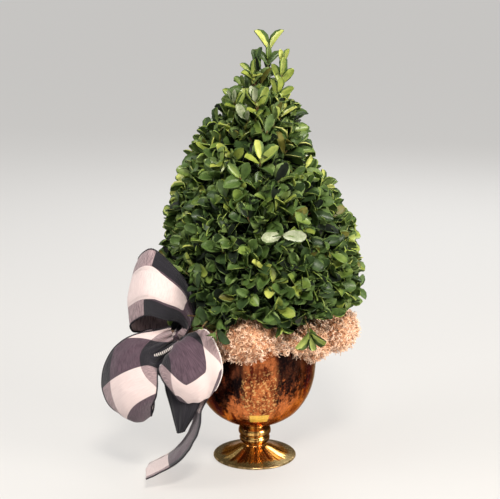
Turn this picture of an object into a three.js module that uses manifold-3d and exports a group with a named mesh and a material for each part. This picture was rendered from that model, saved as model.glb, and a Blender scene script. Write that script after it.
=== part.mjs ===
// Clipped boxwood cone in a footed mirrored-glass bowl, ringed with reindeer moss and tied with
// a checked ribbon bow. Millimetres, +Z up, front towards -Y, origin at the middle of the foot.

import * as THREE from 'three'
import { mergeVertices } from 'three/addons/utils/BufferGeometryUtils.js'
import Module from 'manifold-3d'

const wasm = await Module()
wasm.setup()

// Driving dimensions
const GAP = 0.35              // clearance between two pieces that touch
const SLIVER = 0.03           // edges shorter than this are closed up after a cut
const ROUND = 28              // sides of everything that is turned

const FOOT_RADIUS = 44.4      // bowl
const FOOT_RISE = 14.4
const NECK_RADIUS = 12
const KNOP_RADIUS = 17.4
const KNOP_HEIGHT = 28
const BOWL_RADIUS = 66
const BOWL_BASE = 40
const RIM_HEIGHT = 137
const GLASS = 3.2

const SOIL_LEVEL = RIM_HEIGHT - 2.4
const TRUNK_BASE_RADIUS = 8
const ROOT_FLARE = 6.5
const TRUNK_TOP_RADIUS = 1.9
const TRUNK_TOP = 372
const TRUNK_FOOT_X = 3
const TRUNK_LEAN = 8

const CONE_RADIUS = 108       // clipped surface of the foliage
const CONE_AXIS_X = 4
const CONE_FOOT = 148
const CONE_WIDEST = 185
const CONE_RISE = 250
const CONE_BULGE = 1.85
const SKIRT_TUCK = 0.25
const CONE_DENT = 5           // how far the cone stands to the left at DENT_HEIGHT
const DENT_HEIGHT = 325
const TOP = 455
const CORE_DEPTH = 30
const CORE_FOOT = 158
const CORE_TOP = 380

const LEAF_LENGTH = 34        // each leaf stands for three or four of the living plant's
const LEAF_WIDTH = 18
const LEAF_THICKNESS = 0.9
const LEAF_CUP = 1.8
const TWIG_RADIUS = 1.6
const TWIG_TIP_DEPTH = 21
const TWIGS = 84
const LEAF_ROOM = 11          // least distance between the middles of two twigs' leaves
const STRAY = 6               // how far a single leaf may pass the clipped surface
const CROWN_SCALE = 0.72      // the free shoots at the top have smaller leaves

const MOSS_RING = 73
const MOSS_LEVEL = 142
const MOSS_LUMP = 0.13

const RIBBON_WIDTH = 76       // three-inch wired ribbon
const RIBBON_THICKNESS = 1.2
const RIBBON_STEPS = 8

const X = new THREE.Vector3(1, 0, 0)
const Y = new THREE.Vector3(0, 1, 0)
const Z = new THREE.Vector3(0, 0, 1)
const vec = (x, y, z) => new THREE.Vector3(x, y, z)
const polar = (radius, angle, z) => vec(radius * Math.cos(angle), radius * Math.sin(angle), z)
const degrees = THREE.MathUtils.degToRad
const mix = THREE.MathUtils.lerp

// One seeded stream of random numbers from 0 to 1 for each thing that varies.
function seeded(seed) {
  let state = seed >>> 0
  return () => {
    state = (state + 0x6d2b79f5) >>> 0
    let t = Math.imul(state ^ (state >>> 15), 1 | state)
    t = (t + Math.imul(t ^ (t >>> 7), 61 | t)) ^ t
    return ((t ^ (t >>> 14)) >>> 0) / 4294967296
  }
}

// A closed three.js geometry as a solid that can be joined and cut, and back again.
function solid(geometry) {
  const bare = geometry.clone()
  bare.deleteAttribute('normal')
  bare.deleteAttribute('uv')
  const merged = mergeVertices(bare, 1e-4)
  const vertProperties = new Float32Array(merged.attributes.position.array)
  const triVerts = new Uint32Array(merged.index.array)
  return new wasm.Manifold(new wasm.Mesh({ numProp: 3, vertProperties, triVerts }))
}

function geometryOf(body) {
  const mesh = body.getMesh()
  const geometry = new THREE.BufferGeometry()
  geometry.setAttribute('position', new THREE.BufferAttribute(mesh.vertProperties, 3))
  geometry.setIndex(new THREE.BufferAttribute(mesh.triVerts, 1))
  return geometry
}

// The largest of the separate bodies left by a cut, without its loose scraps and its slivers.
function largest(body) {
  return body.simplify(SLIVER).decompose().sort((a, b) => b.volume() - a.volume())[0]
}

// A closed body from a list of points and a list of triangles.
function faceted(points, triangles) {
  const geometry = new THREE.BufferGeometry()
  geometry.setAttribute('position', new THREE.Float32BufferAttribute(points.flatMap(p => p.toArray()), 3))
  geometry.setIndex(triangles.flat())
  return geometry
}

// A turned body about +Z from a profile of [radius, height] pairs that starts and ends on the axis.
function turned(profile, sides = ROUND) {
  const points = profile.map(([radius, height]) => new THREE.Vector2(radius, height))
  return new THREE.LatheGeometry(points, sides).rotateX(Math.PI / 2)
}

// A tapering limb along a curve, with the radius given at each fraction of its length. Its foot is
// square to the curve, or cut level.
function limb(curve, radiusAt, sides, steps, level = false) {
  const points = []
  const triangles = []
  for (let i = 0; i <= steps; i++) {
    const t = i / steps
    const centre = curve.getPoint(t)
    const along = level && i === 0 ? Z : curve.getTangent(t)
    const across = (Math.abs(along.y) > 0.9 ? X : Y).clone().cross(along).normalize()
    const other = along.clone().cross(across)
    for (let k = 0; k < sides; k++) {
      const angle = (2 * Math.PI * k) / sides
      const arm = across.clone().multiplyScalar(Math.cos(angle)).addScaledVector(other, Math.sin(angle))
      points.push(centre.clone().addScaledVector(arm, radiusAt(t)))
    }
  }
  for (let i = 0; i < steps; i++) {
    for (let k = 0; k < sides; k++) {
      const a = i * sides + k
      const b = i * sides + ((k + 1) % sides)
      triangles.push([a, b, b + sides], [a, b + sides, a + sides])
    }
  }
  for (let k = 1; k < sides - 1; k++) {
    const last = steps * sides
    triangles.push([0, k + 1, k], [last, last + k, last + k + 1])
  }
  return faceted(points, triangles)
}

// Bowl: one blown piece of mirrored glass, a wide cup on a ball knop and a low conical foot.
const cupProfile = [
  [NECK_RADIUS + 1, BOWL_BASE - 4], [NECK_RADIUS + 5, BOWL_BASE - 1.6], [28, BOWL_BASE + 1.8],
  [45, 53], [57.5, 71], [63, 88], [65, 105], [BOWL_RADIUS, 122],
]

function bowlGeometry() {
  const foot = [
    [0, 0], [FOOT_RADIUS - 0.8, 0], [FOOT_RADIUS, 1.2], [FOOT_RADIUS - 1, 2.6], [31, 5.4],
    [20, 9.6], [NECK_RADIUS + 1.2, FOOT_RISE - 1.4], [NECK_RADIUS, FOOT_RISE],
  ]
  const knop = [
    [NECK_RADIUS + 0.6, FOOT_RISE + 2.6], [KNOP_RADIUS - 2.4, 19.6], [KNOP_RADIUS - 1.6, 22],
    [KNOP_RADIUS - 1.8, 24], [KNOP_RADIUS, KNOP_HEIGHT], [KNOP_RADIUS - 1.6, 32],
  ]
  const rim = [
    [BOWL_RADIUS, RIM_HEIGHT - 1.5], [BOWL_RADIUS - 1.2, RIM_HEIGHT],
    [BOWL_RADIUS - 2.2, RIM_HEIGHT], [BOWL_RADIUS - GLASS, RIM_HEIGHT - 1.5],
  ]
  const inside = cupProfile.slice(2).reverse().map(([radius, height]) => [radius - GLASS, height + GLASS / 2])
  return turned([...foot, ...knop, ...cupProfile, ...rim, ...inside, [0, BOWL_BASE + 2]])
}

// Potting mix: fills the cup to just under the rim.
function pottingGeometry() {
  const wall = cupProfile.slice(2).map(([radius, height]) => [radius - GLASS - GAP, height + GLASS / 2 + GAP])
  const top = [[BOWL_RADIUS - GLASS - GAP, SOIL_LEVEL], [0, SOIL_LEVEL]]
  return turned([[0, BOWL_BASE + 2 + GAP], ...wall, ...top])
}

// Trunk: flares at the soil, leans a little to the right and runs up through the cone.
const trunkBase = SOIL_LEVEL + GAP
const trunkLine = new THREE.CatmullRomCurve3([
  vec(TRUNK_FOOT_X, 0, trunkBase),
  vec(TRUNK_FOOT_X, 0, trunkBase + 25),
  vec(TRUNK_FOOT_X + TRUNK_LEAN * 0.1, 3, mix(trunkBase, TRUNK_TOP, 0.4)),
  vec(TRUNK_FOOT_X + TRUNK_LEAN * 0.5, 1, mix(trunkBase, TRUNK_TOP, 0.75)),
  vec(TRUNK_FOOT_X + TRUNK_LEAN, 0, TRUNK_TOP),
])
const trunkRadius = t => mix(TRUNK_BASE_RADIUS, TRUNK_TOP_RADIUS, t) + ROOT_FLARE * Math.exp(-t * 28)
const trunkGeometry = () => limb(trunkLine, trunkRadius, 9, 14, true)
const trunkSpace = () => limb(trunkLine, t => trunkRadius(t) + 1.5 * GAP, 9, 14, true)

// Moss: ten clumps of reindeer moss tucked round the rim, each in its own sector. A sector ends at
// end, in degrees round from +X, and starts where the one before it ends.
const MOSS_CLUMPS = [
  { name: 'moss_right', end: 6, size: 26, ring: 11, rise: 4 },
  { name: 'moss_back_right', end: 50, size: 22, ring: 2, rise: -2 },
  { name: 'moss_back', end: 92, size: 20, ring: 0, rise: 0 },
  { name: 'moss_back_left', end: 134, size: 22, ring: 3, rise: -1 },
  { name: 'moss_left', end: 174, size: 20, ring: 0, rise: -2 },
  { name: 'moss_by_bow', end: 212, size: 19, ring: -2, rise: 0 },
  { name: 'moss_behind_bow', end: 246, size: 19, ring: -3, rise: -2 },
  { name: 'moss_front_left', end: 286, size: 25, ring: 3, rise: 8 },
  { name: 'moss_front', end: 305, size: 18, ring: 4, rise: -2 },
  { name: 'moss_front_right', end: 330, size: 20, ring: 3, rise: -3 },
]
const mossSectors = MOSS_CLUMPS.map((clump, i) => {
  const start = i === 0 ? MOSS_CLUMPS[MOSS_CLUMPS.length - 1].end - 360 : MOSS_CLUMPS[i - 1].end
  const middle = degrees((start + clump.end) / 2)
  const half = degrees((clump.end - start) / 2)
  const ring = MOSS_RING + clump.ring
  return { ...clump, middle, half, ring, centre: polar(ring, middle, MOSS_LEVEL + clump.rise) }
})

// A ball with lumps in it, turned to face out from the bowl and cut to its sector.
function mossBody(clump, extra = 0) {
  const ball = new THREE.IcosahedronGeometry(1, 2)
  const place = ball.attributes.position
  const tangent = clump.ring * Math.sin(clump.half) * 1.25
  for (let i = 0; i < place.count; i++) {
    const p = vec(place.getX(i), place.getY(i), place.getZ(i))
    const lump = Math.sin(5 * p.x + 7 * clump.middle) + Math.sin(6 * p.y + 3 * p.z) + Math.sin(7 * p.z - 4 * p.x)
    p.multiplyScalar(1 + (MOSS_LUMP * lump) / 3)
    p.multiply(vec(clump.size + extra, tangent + extra, clump.size * 0.92 + extra))
    place.setXYZ(i, p.x, p.y, p.z)
  }
  ball.rotateZ(clump.middle).translate(...clump.centre.toArray())
  return solid(ball)
}

function sectorBody(clump) {
  const reach = 150
  const inset = GAP / 2 / Math.sin(clump.half)
  const wedge = new THREE.Shape([
    new THREE.Vector2(inset, 0),
    new THREE.Vector2(reach, -(reach - inset) * Math.tan(clump.half)),
    new THREE.Vector2(reach, (reach - inset) * Math.tan(clump.half)),
  ])
  const block = new THREE.ExtrudeGeometry(wedge, { depth: RIM_HEIGHT, bevelEnabled: false })
  return solid(block.rotateZ(clump.middle).translate(0, 0, RIM_HEIGHT / 2))
}

// The bowl's outside, a little larger and filled in, that nothing else may enter.
function bowlSpace() {
  const wall = cupProfile.slice(2).map(([radius, height]) => [radius + GAP, height - GAP])
  return solid(turned([[0, BOWL_BASE], ...wall, [BOWL_RADIUS + GAP, RIM_HEIGHT + GAP], [0, RIM_HEIGHT + GAP]]))
}

// Bow: a wired ribbon gathered at a knot into three puffed loops and two tails. Every stretch is
// a list of stations: the ribbon's middle, the way its width runs, and the share of its width
// that isn't gathered into pleats.
const KNOT = vec(-86, -72, 135)
const KNOT_SIZE = vec(15, 11, 12)
const station = (x, y, z, wx, wy, wz, share) => ({ middle: vec(x, y, z), width: vec(wx, wy, wz), share })
const upperTurn = station(-121, -52, 194, 8, 10, 64, 0.87)
const lowerTurn = station(-119, -68, 69, 30, -8, 2, 0.38)
const rightTurn = station(-57, -84, 95, 34, 4, 10, 0.46)
const RIBBONS = [
  { name: 'bow_upper_front', cup: -5, stations: [
    station(-80, -64, 147, 8, -2, 8, 0.22), station(-65, -62, 166, 8, 2, 18, 0.35),
    station(-72, -65, 186, 8, 4, 38, 0.52), station(-87, -69, 199, 6, 8, 54, 0.74),
    station(-105, -67, 208, 5, 10, 64, 0.87), upperTurn,
  ] },
  { name: 'bow_upper_back', cup: -3, stations: [
    upperTurn, station(-117, -40, 186, 13, 10, 70, 0.95), station(-103, -34, 184, 11, 6, 67, 0.92),
    station(-86, -38, 179, 5, 2, 52, 0.72), station(-70, -47, 167, 4, 0, 26, 0.42),
    station(-82, -56, 150, 8, 0, 8, 0.22),
  ] },
  { name: 'bow_lower_front', cup: 9, stations: [
    station(-82, -77, 153, 3, -4, -16, 0.3), station(-98, -82, 145, 6, -7, -26, 0.44),
    station(-115, -86, 135, 36, -18, -26, 0.66), station(-123, -87, 119, 52, -24, -14, 0.8),
    station(-126, -85, 100, 54, -24, -4, 0.8), station(-125, -80, 83, 44, -18, 4, 0.62), lowerTurn,
  ] },
  { name: 'bow_lower_back', cup: 4, stations: [
    lowerTurn, station(-124, -55, 76, 42, -4, -2, 0.55), station(-125, -49, 98, 44, -2, -5, 0.6),
    station(-114, -50, 127, 20, 0, -26, 0.56), station(-101, -57, 146, 4, -2, -16, 0.28),
    station(-91, -61, 146, 6, 0, -8, 0.2),
  ] },
  { name: 'bow_right_front', cup: 8, stations: [
    station(-80, -84, 141, 8, -2, 12, 0.28), station(-73, -91, 147, 42, 4, 36, 0.76),
    station(-64, -97, 132, 52, 4, 28, 0.82), station(-57, -95, 113, 46, 4, 20, 0.7), rightTurn,
  ] },
  { name: 'bow_right_back', cup: 3, stations: [
    rightTurn, station(-56, -72, 105, 32, 2, 16, 0.48), station(-62, -69, 123, 30, 0, 24, 0.5),
    station(-74, -70, 130, 8, 0, 10, 0.25),
  ] },
  { name: 'bow_tail_short', cup: 4, stations: [
    station(-89, -76, 121, 14, 0, 3, 0.3), station(-76, -81, 112, 31, -4, 3, 0.42),
    station(-71, -84, 97, 34, -5, 1, 0.46), station(-72, -82, 75, 22, -6, 1, 0.3),
    station(-75, -77, 54, 5, -2, 2, 0.1),
  ] },
  { name: 'bow_tail_long', cup: 3, stations: [
    station(-76, -61, 121, 14, 0, 2, 0.3), station(-64, -59, 98, 20, -8, 4, 0.45),
    station(-58, -63, 74, 8, -52, 12, 0.74), station(-63, -66, 50, 8, -64, 14, 0.92),
    station(-81, -67, 25, 6, -66, 12, 0.95), station(-110, -66, 8, 2, -66, 11, 0.95),
  ] },
]

// The ribbon's surface as rows of points: its middle and width follow the stations smoothly, and
// a cup bows it across, by cup mm at the middle of a full width. It is longer and wider than the
// true cloth by extra on each side.
const RIBBON_ROWS = 4
function ribbonRows(ribbon, extra = 0) {
  const middles = new THREE.CatmullRomCurve3(ribbon.stations.map(s => s.middle), false, 'centripetal')
  const widths = new THREE.CatmullRomCurve3(ribbon.stations.map(s => s.width.clone().normalize()))
  const shares = new THREE.SplineCurve(ribbon.stations.map((s, i) => new THREE.Vector2(i, s.share)))
  const rows = []
  for (let i = 0; i <= RIBBON_STEPS; i++) {
    const t = i / RIBBON_STEPS
    const across = widths.getPoint(t).normalize()
    const facing = middles.getTangent(t).cross(across).normalize()
    const width = RIBBON_WIDTH * shares.getPoint(t).y + 2 * extra
    const longer = i === 0 ? -extra : i === RIBBON_STEPS ? extra : 0
    const centre = middles.getPoint(t).addScaledVector(middles.getTangent(t), longer)
    rows.push(Array.from({ length: RIBBON_ROWS }, (_, k) => {
      const u = k / (RIBBON_ROWS - 1) - 0.5
      const lift = ribbon.cup * (1 - 4 * u * u) * shares.getPoint(t).y
      const point = centre.clone().addScaledVector(across, u * width).addScaledVector(facing, lift)
      return { point, facing }
    }))
  }
  return rows
}

// The rows of points as a closed sheet, thicker than the true cloth by extra on each side.
function ribbonSheet(ribbon, extra = 0) {
  const rows = ribbonRows(ribbon, extra)
  const half = RIBBON_THICKNESS / 2 + extra
  const count = rows.length * RIBBON_ROWS
  const side = sign => rows.flat().map(({ point, facing }) => point.clone().addScaledVector(facing, sign * half))
  const at = (i, k) => i * RIBBON_ROWS + k
  const triangles = []
  const quad = (a, b, c, d) => triangles.push([a, b, c], [a, c, d])
  for (let i = 0; i < rows.length - 1; i++) {
    for (let k = 0; k < RIBBON_ROWS - 1; k++) {
      quad(at(i, k), at(i + 1, k), at(i + 1, k + 1), at(i, k + 1))
      quad(count + at(i, k), count + at(i, k + 1), count + at(i + 1, k + 1), count + at(i + 1, k))
    }
    const last = RIBBON_ROWS - 1
    quad(at(i, 0), count + at(i, 0), count + at(i + 1, 0), at(i + 1, 0))
    quad(at(i, last), at(i + 1, last), count + at(i + 1, last), count + at(i, last))
  }
  for (let k = 0; k < RIBBON_ROWS - 1; k++) {
    const end = rows.length - 1
    quad(at(0, k), at(0, k + 1), count + at(0, k + 1), count + at(0, k))
    quad(at(end, k), count + at(end, k), count + at(end, k + 1), at(end, k + 1))
  }
  return solid(faceted([...side(1), ...side(-1)], triangles))
}

function knotBody(extra = 0) {
  const ball = new THREE.SphereGeometry(1, 14, 9)
  ball.scale(...KNOT_SIZE.clone().addScalar(extra).toArray())
  return solid(ball.rotateY(degrees(-32)).translate(...KNOT.toArray()))
}

// Each stretch of ribbon is cut clear of the knot and of the stretches before it.
function bowBodies() {
  const bodies = [{ name: 'bow_knot', body: knotBody() }]
  let taken = knotBody(GAP)
  for (const ribbon of RIBBONS) {
    bodies.push({ name: ribbon.name, body: largest(ribbonSheet(ribbon).subtract(taken)) })
    taken = taken.add(ribbonSheet(ribbon, GAP))
  }
  return { bodies, taken }
}

// Pick: the stiff wire that holds the knot, pushed through the moss behind it.
const PICK_RADIUS = 1.4
function pickBody(extra = 0) {
  const line = new THREE.LineCurve3(vec(-46, -38, 146), vec(-82, -66, 137))
  return solid(limb(line, () => PICK_RADIUS + extra, 8, 1))
}

// Foliage: twigs stand out of the core at the golden angle round the cone, evenly by area, and
// carry opposite pairs of leaves, each pair turned a quarter from the last.
function coneRadius(z) {
  if (z < CONE_WIDEST) {
    const tuck = Math.min(1, (CONE_WIDEST - z) / (CONE_WIDEST - CONE_FOOT))
    return CONE_RADIUS * (1 - SKIRT_TUCK * Math.pow(tuck, 2.2))
  }
  return CONE_RADIUS * (1 - Math.pow(Math.min(1, (z - CONE_WIDEST) / CONE_RISE), CONE_BULGE))
}

const coneAxis = z => vec(CONE_AXIS_X - CONE_DENT * Math.exp(-(((z - DENT_HEIGHT) / 45) ** 2)), 0, 0)

function coreGeometry() {
  const levels = 9
  const profile = [[0, CORE_FOOT]]
  for (let i = 0; i <= levels; i++) {
    const z = mix(CORE_FOOT, CORE_TOP, i / levels)
    profile.push([Math.max(5, coneRadius(z + 6) - CORE_DEPTH), z])
  }
  return turned([...profile, [0, CORE_TOP + 2]], 16).translate(CONE_AXIS_X, 0, 0)
}

// Heights that share the cone's surface out evenly among a number of twigs.
function evenHeights(count, from, to) {
  const steps = 400
  const area = [0]
  for (let i = 1; i <= steps; i++) {
    area.push(area[i - 1] + coneRadius(mix(from, to, (i - 0.5) / steps)) + 9)
  }
  return Array.from({ length: count }, (_, n) => {
    const wanted = (area[steps] * (n + 0.5)) / count
    return mix(from, to, area.findIndex(value => value >= wanted) / steps)
  })
}

// A leaf of eight faces: stalk, tip, two edges raised by the cup, and the midrib above and below.
function leafPoints(root, along, up, scale) {
  const side = along.clone().cross(up).normalize()
  const face = side.clone().cross(along)
  const at = (reach, across, lift) => root.clone()
    .addScaledVector(along, reach * scale).addScaledVector(side, across * scale).addScaledVector(face, lift * scale)
  return [
    at(-0.8, 0, 0), at(LEAF_LENGTH, 0, LEAF_CUP), at(LEAF_LENGTH * 0.58, -LEAF_WIDTH / 2, LEAF_CUP),
    at(LEAF_LENGTH * 0.58, LEAF_WIDTH / 2, LEAF_CUP), at(LEAF_LENGTH * 0.5, 0, LEAF_THICKNESS / 2),
    at(LEAF_LENGTH * 0.5, 0, -LEAF_THICKNESS / 2),
  ]
}
const LEAF_FACES = [[0, 3, 4], [3, 1, 4], [1, 2, 4], [2, 0, 4], [0, 5, 3], [3, 5, 1], [1, 5, 2], [2, 5, 0]]

// Spaces that a leaf stays out of: moss, trunk, bowl, ribbons, and the ground past the surface.
const ribbonPoints = RIBBONS.flatMap(ribbon => ribbonRows(ribbon).flat().map(({ point }) => point))
function inMoss(p) {
  return mossSectors.some(clump => {
    const local = p.clone().sub(clump.centre).applyAxisAngle(Z, -clump.middle)
    const tangent = clump.ring * Math.sin(clump.half) * 1.25
    return Math.hypot(local.x / (clump.size + 1.5), local.y / (tangent + 1.5), local.z / (clump.size * 0.92 + 1.5)) < 1
  })
}
function isFree(p) {
  const out = Math.hypot(p.x - coneAxis(p.z).x, p.y)
  if (p.z < CONE_FOOT || p.z > TOP || out > coneRadius(p.z) + STRAY) return false
  if (inMoss(p) || p.distanceTo(KNOT) < 24) return false
  return ribbonPoints.every(q => q.distanceTo(p) > 8)
}

function twigGeometry(foot, tip) {
  return limb(new THREE.LineCurve3(foot, tip), t => mix(TWIG_RADIUS, TWIG_RADIUS * 0.75, t), 3, 1)
}

// Leaves in pairs along one twig; the last two pairs sit close together as a rosette. A leaf is
// skipped where it isn't free, or where its middle would crowd a leaf of another twig.
function twigWithLeaves(foot, tip, pairs, scale, free, random, others = []) {
  const middles = []
  const along = tip.clone().sub(foot).normalize()
  const first = along.clone().cross(Math.abs(along.x) > 0.8 ? Z : X).normalize()
  const bodies = []
  const turn = random() * Math.PI
  for (let pair = 0; pair < pairs; pair++) {
    const fromTip = pairs - 1 - pair
    const place = tip.clone().addScaledVector(along, -1 - fromTip * 7 * scale)
    const spread = fromTip === 0 ? 1 : 1.5
    for (const sign of [-1, 1]) {
      const angle = turn + (pair * Math.PI) / 2 + 0.35 * (random() - 0.5)
      const out = first.clone().applyAxisAngle(along, angle).multiplyScalar(sign * spread)
      const way = along.clone().add(out).normalize()
      const points = leafPoints(place, way, along, scale * mix(0.85, 1.1, random()))
      const crowded = others.some(middle => middle.distanceTo(points[4]) < LEAF_ROOM * scale)
      if (crowded || !points.slice(1).every(free)) continue
      middles.push(points[4])
      bodies.push(solid(faceted(points, LEAF_FACES)))
    }
  }
  others.push(...middles)
  return bodies.length ? [solid(twigGeometry(foot, tip)), ...bodies] : []
}

// The way a twig leaves the core: out from the clipped surface, and a little up.
function twigSite(z, angle, random) {
  const slope = (coneRadius(z + 2) - coneRadius(z - 2)) / 4
  const out = polar(1, angle, -slope).normalize()
  const surface = polar(coneRadius(z), angle, z).add(coneAxis(z))
  const lift = z < CONE_WIDEST ? -0.6 : 0.35
  const way = out.clone().add(vec(random() - 0.5, random() - 0.5, random() - 0.5 + lift).multiplyScalar(0.7)).normalize()
  const tip = surface.addScaledVector(out, -TWIG_TIP_DEPTH)
  return { foot: tip.clone().addScaledVector(way, -(CORE_DEPTH - TWIG_TIP_DEPTH + 12)), tip }
}

function coneTwigs(random) {
  const golden = Math.PI * (3 - Math.sqrt(5))
  const leaves = []
  return evenHeights(TWIGS, CONE_FOOT + 7, CORE_TOP + 6).flatMap((z, n) => {
    const { foot, tip } = twigSite(z, n * golden, random)
    return twigWithLeaves(foot, tip, 2, 1, isFree, random, leaves)
  })
}

// Crown: the free shoots at the top, grown from one leader that stands in the core. Each shoot is
// named by where it leaves the leader, where it ends, and its pairs of leaves.
const LEADER = new THREE.LineCurve3(vec(11, 0, CORE_TOP - 6), vec(14, -1, 434))
const CROWN_SHOOTS = [
  { from: 0.05, tip: vec(-18, -12, 393), pairs: 2 },
  { from: 0.05, tip: vec(31, -14, 393), pairs: 2 },
  { from: 0.05, tip: vec(2, 24, 393), pairs: 2 },
  { from: 0.25, tip: vec(32, -4, 416), pairs: 4 },
  { from: 0.25, tip: vec(28, 14, 408), pairs: 3 },
  { from: 0.25, tip: vec(-10, 8, 408), pairs: 3 },
  { from: 0.2, tip: vec(12, -20, 406), pairs: 3 },
  { from: 0.45, tip: vec(-2, -4, 423), pairs: 3 },
  { from: 0.55, tip: vec(12, 12, 426), pairs: 3 },
]
function crownTwigs(random) {
  const free = p => p.z < TOP
  const shoots = [{ from: 0, tip: LEADER.getPoint(1), pairs: 4 }, ...CROWN_SHOOTS]
  return shoots.flatMap(({ from, tip, pairs }) => {
    return twigWithLeaves(LEADER.getPoint(from), tip, pairs, CROWN_SCALE, free, random)
  })
}

function foliageBody(taken) {
  const random = seeded(41)
  const whole = wasm.Manifold.union([solid(coreGeometry()), ...coneTwigs(random), ...crownTwigs(random)])
  const blocked = [...mossSectors.map(clump => mossBody(clump, 1)), solid(trunkSpace()), taken, bowlSpace()]
  return largest(whole.subtract(wasm.Manifold.union(blocked)))
}

// Colours and finishes
const finish = (color, roughness, metalness = 0) => ({ color, roughness, metalness, flatShading: true })
const FINISHES = {
  glass: finish(0x8a5320, 0.16, 0.9),
  soil: finish(0x3a2a20, 0.95),
  bark: finish(0x6b5640, 0.85),
  leaf: finish(0x3f6b26, 0.45),
  moss: finish(0xd9b695, 0.95),
  ribbon: finish(0x8a7a80, 0.8),
  knot: finish(0x23202a, 0.8),
  wire: finish(0x55604a, 0.6, 0.6),
}

// The whole arrangement
const topiary = new THREE.Group()
function addPart(name, geometry, look) {
  const mesh = new THREE.Mesh(geometry, new THREE.MeshStandardMaterial(FINISHES[look]))
  mesh.name = name
  topiary.add(mesh)
  return mesh
}

const bow = bowBodies()
const pick = pickBody().subtract(knotBody(GAP)).subtract(bow.taken)
addPart('glass_bowl', geometryOf(solid(bowlGeometry())), 'glass')
addPart('potting_mix', geometryOf(solid(pottingGeometry())), 'soil')
addPart('trunk', geometryOf(solid(trunkGeometry())), 'bark')
const mossBlocked = wasm.Manifold.union([bowlSpace(), solid(trunkSpace()), pickBody(GAP), bow.taken])
for (const clump of mossSectors) {
  addPart(clump.name, geometryOf(largest(mossBody(clump).intersect(sectorBody(clump)).subtract(mossBlocked))), 'moss')
}
addPart('bow_pick', geometryOf(largest(pick)), 'wire')
for (const { name, body } of bow.bodies) {
  addPart(name, geometryOf(body), name === 'bow_knot' ? 'knot' : 'ribbon')
}
addPart('foliage_cone', geometryOf(foliageBody(bow.taken.add(pickBody(GAP)))), 'leaf')

export default topiary
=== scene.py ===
import math

import bpy
import numpy as np
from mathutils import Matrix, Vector


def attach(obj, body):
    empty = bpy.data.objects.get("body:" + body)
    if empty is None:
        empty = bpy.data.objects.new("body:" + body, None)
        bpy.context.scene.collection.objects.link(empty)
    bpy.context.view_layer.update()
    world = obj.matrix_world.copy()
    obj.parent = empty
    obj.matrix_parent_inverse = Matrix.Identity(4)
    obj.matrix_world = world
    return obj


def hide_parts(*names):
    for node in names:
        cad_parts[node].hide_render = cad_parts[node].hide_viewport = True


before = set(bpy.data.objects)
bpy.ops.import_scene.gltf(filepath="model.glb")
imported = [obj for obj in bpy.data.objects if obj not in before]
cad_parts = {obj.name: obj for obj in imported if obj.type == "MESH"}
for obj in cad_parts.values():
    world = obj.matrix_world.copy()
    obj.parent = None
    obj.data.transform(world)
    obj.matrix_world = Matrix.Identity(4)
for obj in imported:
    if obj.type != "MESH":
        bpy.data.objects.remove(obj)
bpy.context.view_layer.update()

# Footed bowl
# One blown glass piece, silvered behind an amber tint that has worn into streaks and specks: a wide
# cup on a ball knop, and a low foot whose outer rim is clear olive glass. Sizes are in millimetres.
FOOT_RADIUS = 44.4
BOWL_RADIUS = 66.0
BOWL_BASE = 40.0
RIM_HEIGHT = 137.0
GLASS = 3.2
BOWL_SIDES = 120


class Value:
    """A number or colour that varies over a surface and can be used in ordinary sums."""

    def __init__(self, finish, socket):
        self.finish = finish
        self.socket = socket

    def __add__(self, other):
        return self.finish.maths("ADD", self, other)

    __radd__ = __add__

    def __sub__(self, other):
        return self.finish.maths("SUBTRACT", self, other)

    def __rsub__(self, other):
        return self.finish.maths("SUBTRACT", other, self)

    def __mul__(self, other):
        return self.finish.maths("MULTIPLY", self, other)

    __rmul__ = __mul__

    def __pow__(self, other):
        return self.finish.maths("POWER", self, other)

    def __abs__(self):
        return self.finish.maths("ABSOLUTE", self)

    def __mod__(self, other):
        return self.finish.maths("FLOORED_MODULO", self, other)

    def step(self, low, high):
        """Rises smoothly from 0 where this value is low to 1 where it is high."""
        ramp = {"interpolation_type": "SMOOTHSTEP"}
        return self.finish.node("ShaderNodeMapRange", ramp, {0: self, 1: low, 2: high})


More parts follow.
